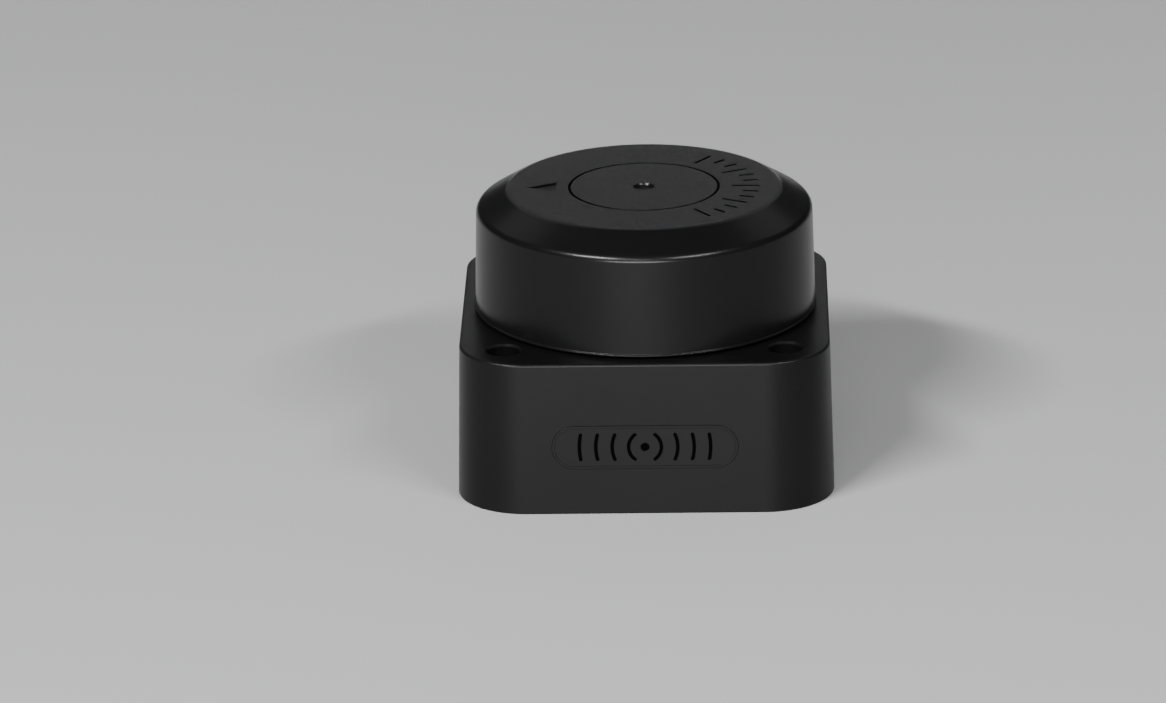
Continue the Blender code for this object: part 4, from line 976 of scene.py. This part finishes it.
def bearing_tube():
    low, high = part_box("bearing_tube")
    lower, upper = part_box("lower_bearing_outer"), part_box("upper_bearing_outer")
    seat = lower[1].x + FIT_GAP
    flange = low.z + FLANGE_THICK
    edge = 0.1 * MM
    corners = [
        (seat, high.z, edge),
        (TUBE_RADIUS, high.z, 0.2 * MM),
        (TUBE_RADIUS, TUBE_COLLAR_TOP_Z, edge),
        (TUBE_COLLAR, TUBE_COLLAR_TOP_Z, edge),
        (TUBE_COLLAR, TUBE_COLLAR_Z, edge),
        (TUBE_RADIUS, TUBE_COLLAR_Z, edge),
        (TUBE_RADIUS, flange, edge),
        (high.x, flange, 0.15 * MM),
        (high.x, low.z, 0.15 * MM),
        (TUBE_LEDGE, low.z, edge),
        (TUBE_LEDGE, lower[0].z - FIT_GAP, 0.05 * MM),
        (seat, lower[0].z - FIT_GAP),
        (seat, lower[1].z + FIT_GAP),
        (TUBE_LEDGE, lower[1].z + FIT_GAP, 0.05 * MM),
        (TUBE_LEDGE, upper[0].z - FIT_GAP, 0.05 * MM),
        (seat, upper[0].z - FIT_GAP),
    ]
    passages = rods(on_ring(*MOTOR_SCREWS), SCREW_PASSAGE, low.z - MM, flange + MM)
    turned("bearing_tube", corners, "base", "aluminium", passages)


def shaft_and_clip():
    low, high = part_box("hollow_shaft")
    clip_low, clip_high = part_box("shaft_clip")
    groove_low, groove_high = clip_low.z - FIT_GAP / 2, clip_high.z + FIT_GAP / 2
    corners = [(SHAFT_BORE, high.z, 0.15 * MM), (high.x, high.z, 0.25 * MM), (high.x, groove_high)]
    corners += [(CLIP_GROOVE, groove_high), (CLIP_GROOVE, groove_low), (high.x, groove_low)]
    corners += [(high.x, low.z, 0.1 * MM), (SHAFT_BORE, low.z, 0.15 * MM)]
    turned("hollow_shaft", corners, "scan_head", "steel")
    outer = arc(-clip_low.x, CLIP_MOUTH, math.tau - CLIP_MOUTH, 64)
    inner = arc(CLIP_GROOVE + FIT_GAP, math.tau - CLIP_MOUTH, CLIP_MOUTH, 48)
    clip = slab(outer + inner, clip_low.z, clip_high.z, 0.05 * MM)
    fine("shaft_clip", clip, "scan_head", "black_steel")


def rotor_bell():
    low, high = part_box("rotor_bell")
    edge = 0.1 * MM
    inside = high.x - BELL_WALL
    corners = [(BEARING_BORE, high.z, edge), (BELL_HUB, high.z, 0.2 * MM), (BELL_HUB, BELL_TOP_Z, edge)]
    corners += [(high.x, BELL_TOP_Z, 0.7 * MM), (high.x, low.z, 0.15 * MM), (inside, low.z, 0.15 * MM)]
    corners += [(inside, BELL_ROOF_Z, edge), (BEARING_BORE, BELL_ROOF_Z, edge)]
    pilots = rods(on_ring(*PLATFORM_SCREWS), PILOT_RADIUS, high.z - 4 * MM, high.z + MM)
    turned("rotor_bell", corners, "scan_head", "steel", pilots)
    ring("magnet_ring", MAGNET_INNER, 0.12 * MM, "scan_head", "magnet")


def tooth_outline(angle):
    """One tooth with its shoe, and the stretch of hub up to the next one."""
    root = math.asin(TOOTH_HALF / STATOR_HUB)
    neck = math.sqrt(SHOE_INNER**2 - TOOTH_HALF**2)
    points = [polar(STATOR_HUB, -root), (neck, -TOOTH_HALF), polar(SHOE_INNER, -SHOE_HALF_ANGLE)]
    points += arc(SHOE_OUTER, -SHOE_HALF_ANGLE, SHOE_HALF_ANGLE, 12)
    points += [polar(SHOE_INNER, SHOE_HALF_ANGLE), (neck, TOOTH_HALF)]
    points += arc(STATOR_HUB, root, math.tau / TOOTH_COUNT - root, 6)[:-1]
    return turned_about(points, angle)


def stator_core():
    """Stacked sheets, with a fine line where each meets the next."""
    low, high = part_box("stator_core")
    outline = [point for angle in TOOTH_ANGLES for point in tooth_outline(angle)]
    narrow = grown(outline, -SHEET_LINE)
    sheet = (high.z - low.z) / LAMINATIONS
    sections = []
    for i in range(LAMINATIONS):
        foot = low.z + i * sheet
        sections += [level(narrow, foot), level(outline, foot + SHEET_LINE)]
        sections.append(level(outline, foot + sheet - SHEET_LINE))
    sections.append(level(narrow, high.z))
    bore = rods([(0.0, 0.0)], STATOR_BORE, low.z - MM, high.z + MM, FINE_STEPS)
    fine("stator_core", loft(sections), "base", "core_steel", bore)


def wires(paths, radius, closed):
    """Round wire along each path, as one mesh."""
    curve = bpy.data.curves.new("wire", "CURVE")
    curve.dimensions = "3D"
    curve.bevel_depth = radius
    curve.bevel_resolution = 2
    curve.use_fill_caps = True
    for path in paths:
        spline = curve.splines.new("POLY")
        spline.points.add(len(path) - 1)
        for point, place in zip(spline.points, path):
            point.co = (*place, 1.0)
        spline.use_cyclic_u = closed
    obj = piece("wire", curve)
    mesh = settled(obj)
    bpy.data.objects.remove(obj)
    return merged([mesh], WIRE_WELD)


def stator_winding():
    """Two layers of wire round each tooth, and the crossover wires that ring the hub."""
    core_low, core_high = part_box("stator_core")
    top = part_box("stator_winding")[1].z
    middle = (core_low.z + core_high.z) / 2
    paths = []
    for layer in range(2):
        out = COIL_GAP + COIL_WIRE * (1 + COIL_SPACING * layer)
        loop = rounded_box(TOOTH_HALF + out, core_high.z - middle + out, out, 4)
        for turn_number in range(COIL_TURNS):
            x = COIL_INNER + COIL_WIRE * (1 + COIL_SPACING * turn_number)
            for angle in TOOTH_ANGLES:
                plan = turned_about([(x, y) for y, z in loop], angle)
                paths.append([(*place, middle + z) for place, (y, z) in zip(plan, loop)])
    for drop in (1.2, 3.3):
        paths.append(level(circle(COIL_INNER - 1.1 * COIL_WIRE, FINE_STEPS), top - drop * COIL_WIRE))
    fine("stator_winding", wires(paths, COIL_WIRE, True), "base", "copper", sharp=WIRE_CREASE)


def power_link():
    """Two ferrite rings that face each other, each with a spiral of round wire in it."""
    for side, coil, body in (("lower", "primary_coil", "base"), ("upper", "secondary_coil", "scan_head")):
        ring(f"{side}_ferrite", FERRITE_INNER, 0.12 * MM, body, "ferrite")
        low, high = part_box(coil)
        first, last = WINDING_INNER + LINK_WIRE, high.x - 1.1 * LINK_WIRE
        steps = int(LINK_TURNS * 64)
        path = []
        for i in range(steps + 1):
            place = polar(first + (last - first) * i / steps, math.tau * LINK_TURNS * i / steps)
            path.append((*place, (low.z + high.z) / 2))
        fine(coil, wires([path], LINK_WIRE, False), body, "copper", sharp=WIRE_CREASE)


# Boards and their parts


def block(node, side=0.0, foot=0.0):
    """A box over a node's own box, with every edge eased, moved in at its sides and its foot."""
    low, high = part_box(node)
    edge = 0.12 * MM
    middle, half = (low + high) / 2, (high - low) / 2
    outline = rounded_box(half.x - side, half.y - side, 2 * edge, 4)
    return slab(moved(outline, middle.x, middle.y), low.z + foot, high.z, edge)


def small_parts(name, body, spots, place):
    """Chip resistors: dark bodies with a bright cap at both ends. A spot is (x, y, angle)."""
    bodies, caps = [], []
    for x, y, angle in spots:
        spot = place @ at(x, y) @ turn(angle, "Z")
        middle = rounded_box(0.38 * MM, 0.25 * MM, 0.03 * MM, 2)
        bodies.append(placed(slab(middle, 0.04 * MM, 0.32 * MM, 0.03 * MM), spot))
        for side in (-1, 1):
            cap = moved(rounded_box(0.1 * MM, 0.27 * MM, 0.03 * MM, 2), side * 0.49 * MM, 0.0)
            caps.append(placed(slab(cap, 0.0, 0.35 * MM, 0.03 * MM), spot))
    dress(piece(f"{name}_parts", merged(bodies)), body, "chip")
    dress(piece(f"{name}_part_caps", merged(caps)), body, "steel")


def board(node, body, outline, bores, spots, standing=False):
    """A circuit board with its bores, a bare metal ring round each small one, and small parts on it."""
    low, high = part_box(node)
    thick, place = high.z - low.z, at(0.0, 0.0, low.z)
    if standing:
        thick, place = high.x - low.x, at(low.x, 0.0, (low.z + high.z) / 2) @ turn(QUARTER, "Y")
    cutters = [rods([centre], radius, -MM, thick + MM) for centre, radius in bores]
    fine(node, slab(outline, 0.0, thick, 0.05 * MM), body, "circuit_board", *cutters, place=place)
    rims = []
    for centre, radius in bores:
        if radius < 3 * MM:
            rim = washer(radius + 0.02 * MM, radius + 0.5 * MM, 0.0, 0.03 * MM, 0.0)
            rims.append(placed(lathe(rim, SMALL_STEPS), at(*centre, thick)))
    if rims:
        dress(piece(f"{node}_rings", merged(rims), place=place), body, "brass")
    small_parts(node, body, spots, place @ at(0.0, 0.0, thick))


def boards():
    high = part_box("main_board")[1]
    half, rear = high.x, high.y
    outline = [(-half, -BOARD_CUT), (-BOARD_CUT, -half), (BOARD_CUT, -half), (half, -BOARD_CUT)]
    outline += [(half, BOARD_CUT), (BOARD_CUT + half - rear, rear)]
    outline += [(rear - half - BOARD_CUT, rear), (-half, BOARD_CUT)]
    bores = [(place, SCREW_PASSAGE) for place in on_ring(*MOTOR_SCREWS)]
    spots = [(2 * i * MM, y * MM, QUARTER) for y in (-15, -18) for i in range(-4, 5)]
    spots += [(x * MM, y * MM, 0.0) for x in (-15, -12, 12, 15) for y in (8, 10, 12)]
    board("main_board", "base", outline, bores, spots)

    outline = circle(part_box("link_board")[1].x, FINE_STEPS)
    bores = [(polar(BOSS_RING, angle), SCREW_PASSAGE) for angle in BOSS_ANGLES]
    bores.append(((0.0, 0.0), LINK_BOARD_BORE))
    angles = [math.radians(middle + 6 * i) for middle in (50, 130, 225, 315) for i in (-1, 0, 1)]
    spots = [(*polar(20.6 * MM, angle), angle) for angle in angles]
    board("link_board", "base", outline, bores, spots)

    low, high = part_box("head_board")
    reach = math.acos(low.x / high.x)
    outline = arc(high.x, -reach, reach, FINE_STEPS)
    bores = [((0.0, y), PILLAR_RADIUS + 0.3 * MM) for y in (-PILLAR_Y, PILLAR_Y)]
    spots = [(x * MM, 2 * i * MM, 0.0) for x in (7, 10, 13) for i in range(-3, 4)]
    board("head_board", "scan_head", outline, bores, spots)

    low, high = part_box("optics_board")
    outline = rounded_box((high.z - low.z) / 2, high.y, 0.5 * MM, 6)
    spots = [(x * MM, 2 * i * MM, QUARTER) for x in (-3, 3) for i in range(-4, 5)]
    board("optics_board", "scan_head", outline, [], spots, standing=True)


def chips():
    """Plain packages, and the controller's flat one with bent leads along all four sides."""
    low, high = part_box("mcu_chip")
    dot = rods([(low.x + 1.5 * MM, high.y - 1.5 * MM)], 0.3 * MM, high.z - 0.06 * MM, high.z + MM)
    fine("mcu_chip", block("mcu_chip", 0.7 * MM, 0.1 * MM), "base", "chip", dot)
    middle, reach, waist, sheet = (low + high) / 2, (high.x - low.x) / 2, 0.45 * MM, 0.12 * MM
    wall = reach - 0.68 * MM
    lead = [(wall, waist), (wall, waist - sheet), (wall + 0.18 * MM, waist - sheet), (wall + 0.3 * MM, 0.0)]
    lead += [(reach, 0.0), (reach, sheet), (wall + 0.4 * MM, sheet), (wall + 0.28 * MM, waist)]
    leads = []
    for side in range(4):
        for i in range(8):
            place = at(middle.x, middle.y, low.z) @ turn(side * QUARTER, "Z")
            place = place @ at(0.0, (i - 3.5) * 0.62 * MM) @ turn(QUARTER, "X")
            leads.append(placed(prism([lead], -0.12 * MM, 0.12 * MM), place))
    dress(piece("mcu_leads", merged(leads)), "base", "steel")
    for node in ("link_photodiode", "detector_chip"):
        fine(node, block(node), "scan_head", "chip")


def capacitor():
    """A can with its rolled groove near the foot and a scored cross on top."""
    low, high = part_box("capacitor")
    middle, radius = (low + high) / 2, (high.x - low.x) / 2
    edge = 0.1 * MM
    corners = [(radius, high.z, 0.35 * MM), (radius, low.z + 0.95 * MM, edge)]
    corners += [(radius - 0.2 * MM, low.z + 0.7 * MM, edge), (radius, low.z + 0.45 * MM, edge)]
    can = lathe(solid([*corners, (radius, low.z, 0.05 * MM)]))
    line = rounded_box(2 * MM, 0.06 * MM, 0.03 * MM, 2)
    lines = [[turned_about(line, angle)] for angle in (0.0, QUARTER)]
    cross = [prism(outline, high.z - 0.06 * MM, high.z + MM) for outline in lines]
    fine("capacitor", can, "base", "aluminium", *cross, place=at(middle.x, middle.y))


def link_led():
    low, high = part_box("link_led")
    turned("link_led", solid([(high.x, high.z, 0.9 * high.x), (high.x, low.z)]), "base", "lens_glass")


def encoder():
    low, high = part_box("encoder_ring")
    bar = moved(rounded_box(MM, SLOT_HALF, 0.3 * MM, 3), high.x, 0.0)
    spacing = math.tau / ENCODER_SLOTS
    bars = [turned_about(bar, i * spacing - QUARTER) for i in range(1, ENCODER_SLOTS)]
    slots = prism(bars, low.z - MM, SLOT_TOP_Z)
    ring("encoder_ring", ENCODER_INNER, 0.1 * MM, "scan_head", "inner_plastic", slots)
    low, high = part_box("encoder_sensor")
    gap = rounded_box(4 * MM, (high.y - low.y) / 2 - SENSOR_ARM, 0.1 * MM, 3)
    gap = prism([moved(gap, 0.0, (low.y + high.y) / 2)], SENSOR_FLOOR_Z, high.z + MM)
    fine("encoder_sensor", block("encoder_sensor"), "base", "chip", gap)


# Inside of the head


def rotor_platform():
    low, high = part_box("rotor_platform")
    top = low.z + PLATFORM_THICK
    plate = washer(PLATFORM_BORE, high.x, low.z, top, 0.3 * MM)
    obj = piece("fine_rotor_platform", lathe(plate, ROUND_STEPS))
    rest = [(PILLAR_SHOULDER, PILLAR_SHOULDER_Z, 0.2 * MM), (PILLAR_SHOULDER, top - 0.5 * MM)]
    pillar = [(PILLAR_RADIUS, high.z, 0.2 * MM), (PILLAR_RADIUS, PILLAR_SHOULDER_Z), *rest]
    pillars = [(0.0, -PILLAR_Y), (0.0, PILLAR_Y)]
    for place, corners in ((pillars[0], pillar), (pillars[1], pillar), ((REST_X, 0.0), rest)):
        fuse(obj, placed(lathe(solid(corners), SMALL_STEPS), at(*place)))
    cut(obj, rods(pillars, SCREW_PASSAGE, high.z - 4 * MM, high.z + MM))
    cut(obj, rods(on_ring(*PLATFORM_SCREWS), PILOT_RADIUS, low.z - MM, top + MM))
    dress(obj, "scan_head", "inner_plastic", "rotor_platform")


def counterweight():
    low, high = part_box("counterweight")
    middle, width = (COUNTERWEIGHT_INNER + high.x) / 2, high.x - COUNTERWEIGHT_INNER
    outline = arc_bar(middle, COUNTERWEIGHT_HALF_ANGLE, width, 48)
    fine("counterweight", slab(outline, low.z, high.z, 0.12 * MM), "scan_head", "brass")


def facing_forward(x, y, z):
    """A place whose own +Z looks along -X, the way the optics look."""
    return at(x, y, z) @ turn(-QUARTER, "Y")


def lens(node):
    """A lens with its crown to the front, and the ring that holds it."""
    low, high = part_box(node)
    middle, radius = (low + high) / 2, (high.y - low.y) / 2
    crown = high.x - low.x - LENS_EDGE
    curve = (radius**2 + crown**2) / (2 * crown)
    dome = []
    for i in range(17):
        r = radius * i / 16
        dome.append((r, LENS_EDGE + crown - curve + math.sqrt(curve**2 - r**2)))
    glass = lathe([*dome, (radius, 0.0), (0.0, 0.0)])
    fine(node, glass, "scan_head", "lens_glass", place=facing_forward(high.x, middle.y, middle.z))
    rim = lathe(washer(radius - 0.5 * MM, radius + 0.1 * MM, 0.0, 0.7 * MM, 0.1 * MM))
    place = facing_forward(high.x - LENS_EDGE - 0.35 * MM, middle.y, middle.z)
    dress(piece(f"{node}_ring", rim, place=place), "scan_head", "aluminium")


def optics():
    low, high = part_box("optics_block")
    middle, half = (low + high) / 2, (high - low) / 2
    outline = rounded_box(half.z, half.y, 0.8 * MM, 6)
    mesh = placed(slab(outline, 0.0, 2 * half.x, 0.3 * MM), facing_forward(high.x, 0.0, middle.z))
    lenses = ("emitter_lens", "receiver_lens")
    bores = []
    for node in lenses:
        lens_low, lens_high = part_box(node)
        centre = (lens_low + lens_high) / 2
        bore = rods([(0.0, 0.0)], (lens_high.y - lens_low.y) / 2 + LENS_GAP, -MM, 2 * half.x + MM)
        bores.append(placed(bore, facing_forward(high.x, centre.y, centre.z)))
    fine("optics_block", mesh, "scan_head", "inner_plastic", *bores)
    for node in lenses:
        lens(node)


def laser_diode():
    low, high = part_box("laser_diode")
    centre, flange, length = (low + high) / 2, (high.y - low.y) / 2, high.x - low.x
    cap, step, edge = flange - 0.9 * MM, 1.2 * MM, 0.1 * MM
    corners = [(cap, length, 0.3 * MM), (cap, step, edge), (flange, step, edge), (flange, 0.0, edge)]
    window = rods([(0.0, 0.0)], 0.8 * MM, length - 0.2 * MM, length + MM)
    place = facing_forward(high.x, centre.y, centre.z)
    fine("laser_diode", lathe(solid(corners)), "scan_head", "brass", window, place=place)


# Stage


def floor():
    bm = bmesh.new()
    bmesh.ops.create_grid(bm, x_segments=8, y_segments=8, size=6.0)
    obj = piece("floor", to_mesh(bm))
    obj.location.z = -0.02 * MM
    material = new_material("floor", {"Roughness": 0.8})
    tinted(material, (0.34, 0.34, 0.345), 0.01, 3.0, 2.0)
    obj.data.materials.append(material)


def direction(azimuth, elevation):
    """The way out from the module. Azimuth 0 is in front of it, and 90 degrees on its right."""
    out = Vector((math.sin(azimuth), -math.cos(azimuth), 0.0)) * math.cos(elevation)
    out.z = math.sin(elevation)
    return out


def softbox(name, azimuth, elevation, distance, size, power):
    """A rectangular light that looks at the module."""
    data = bpy.data.lights.new(name, "AREA")
    data.shape = "RECTANGLE"
    data.size, data.size_y = size
    data.energy = power
    out = direction(math.radians(azimuth), math.radians(elevation))
    obj = piece(name, data)
    obj.location = LOOK_AT + out * distance
    obj.rotation_euler = out.to_track_quat("Z", "Y").to_euler()


def lights():
    softbox("key", -38.0, 40.0, 1.2, (0.5, 0.06), 26.0)
    softbox("fill", 38.0, 40.0, 1.2, (0.5, 0.06), 12.0)
    softbox("middle", -4.0, 32.0, 1.2, (0.3, 0.08), 2.5)
    softbox("front", -5.0, 3.0, 1.3, (0.9, 0.1), 22.0)
    softbox("top", 180.0, 30.0, 1.3, (1.0, 0.6), 0.42)
    softbox("rim", 180.0, 6.0, 1.3, (0.5, 0.06), 0.5)
    for side in (-1, 1):
        softbox("back", side * 142.0, 42.0, 1.2, (0.9, 0.45), 0.7)
    world = bpy.data.worlds.new("studio")
    bpy.context.scene.world = world
    world.use_nodes = True
    background = world.node_tree.nodes["Background"]
    set_inputs(background, {"Color": (0.76, 0.77, 0.8, 1.0), "Strength": 0.06})


def camera():
    data = bpy.data.cameras.new("camera")
    data.lens = LENS
    data.sensor_width = SENSOR
    data.clip_start = 0.01
    back = direction(AZIMUTH, ELEVATION)
    right = Vector((math.cos(AZIMUTH), math.sin(AZIMUTH), 0.0))
    up = back.cross(right)
    tilted_right = math.cos(ROLL) * right + math.sin(ROLL) * up
    tilted_up = math.cos(ROLL) * up - math.sin(ROLL) * right
    place = LOOK_AT + back * DISTANCE
    aim = LOOK_AT + tilted_right * OFF_CENTRE[0] + tilted_up * OFF_CENTRE[1]
    away = (place - aim).normalized()
    across = tilted_up.cross(away).normalized()
    axes = Matrix((across, away.cross(across), away)).transposed().to_4x4()
    obj = piece("camera", data)
    obj.matrix_world = at(*place) @ axes
    bpy.context.scene.camera = obj


make_materials()
camera()
lights()
floor()
housing()
front_badge()
head_cover()
top_disc()
bottom_cover()
standoffs()
screws()
connector_header()
bearings()
bearing_tube()
shaft_and_clip()
rotor_bell()
stator_core()
stator_winding()
power_link()
boards()
chips()
capacitor()
link_led()
encoder()
rotor_platform()
counterweight()
optics()
laser_diode()
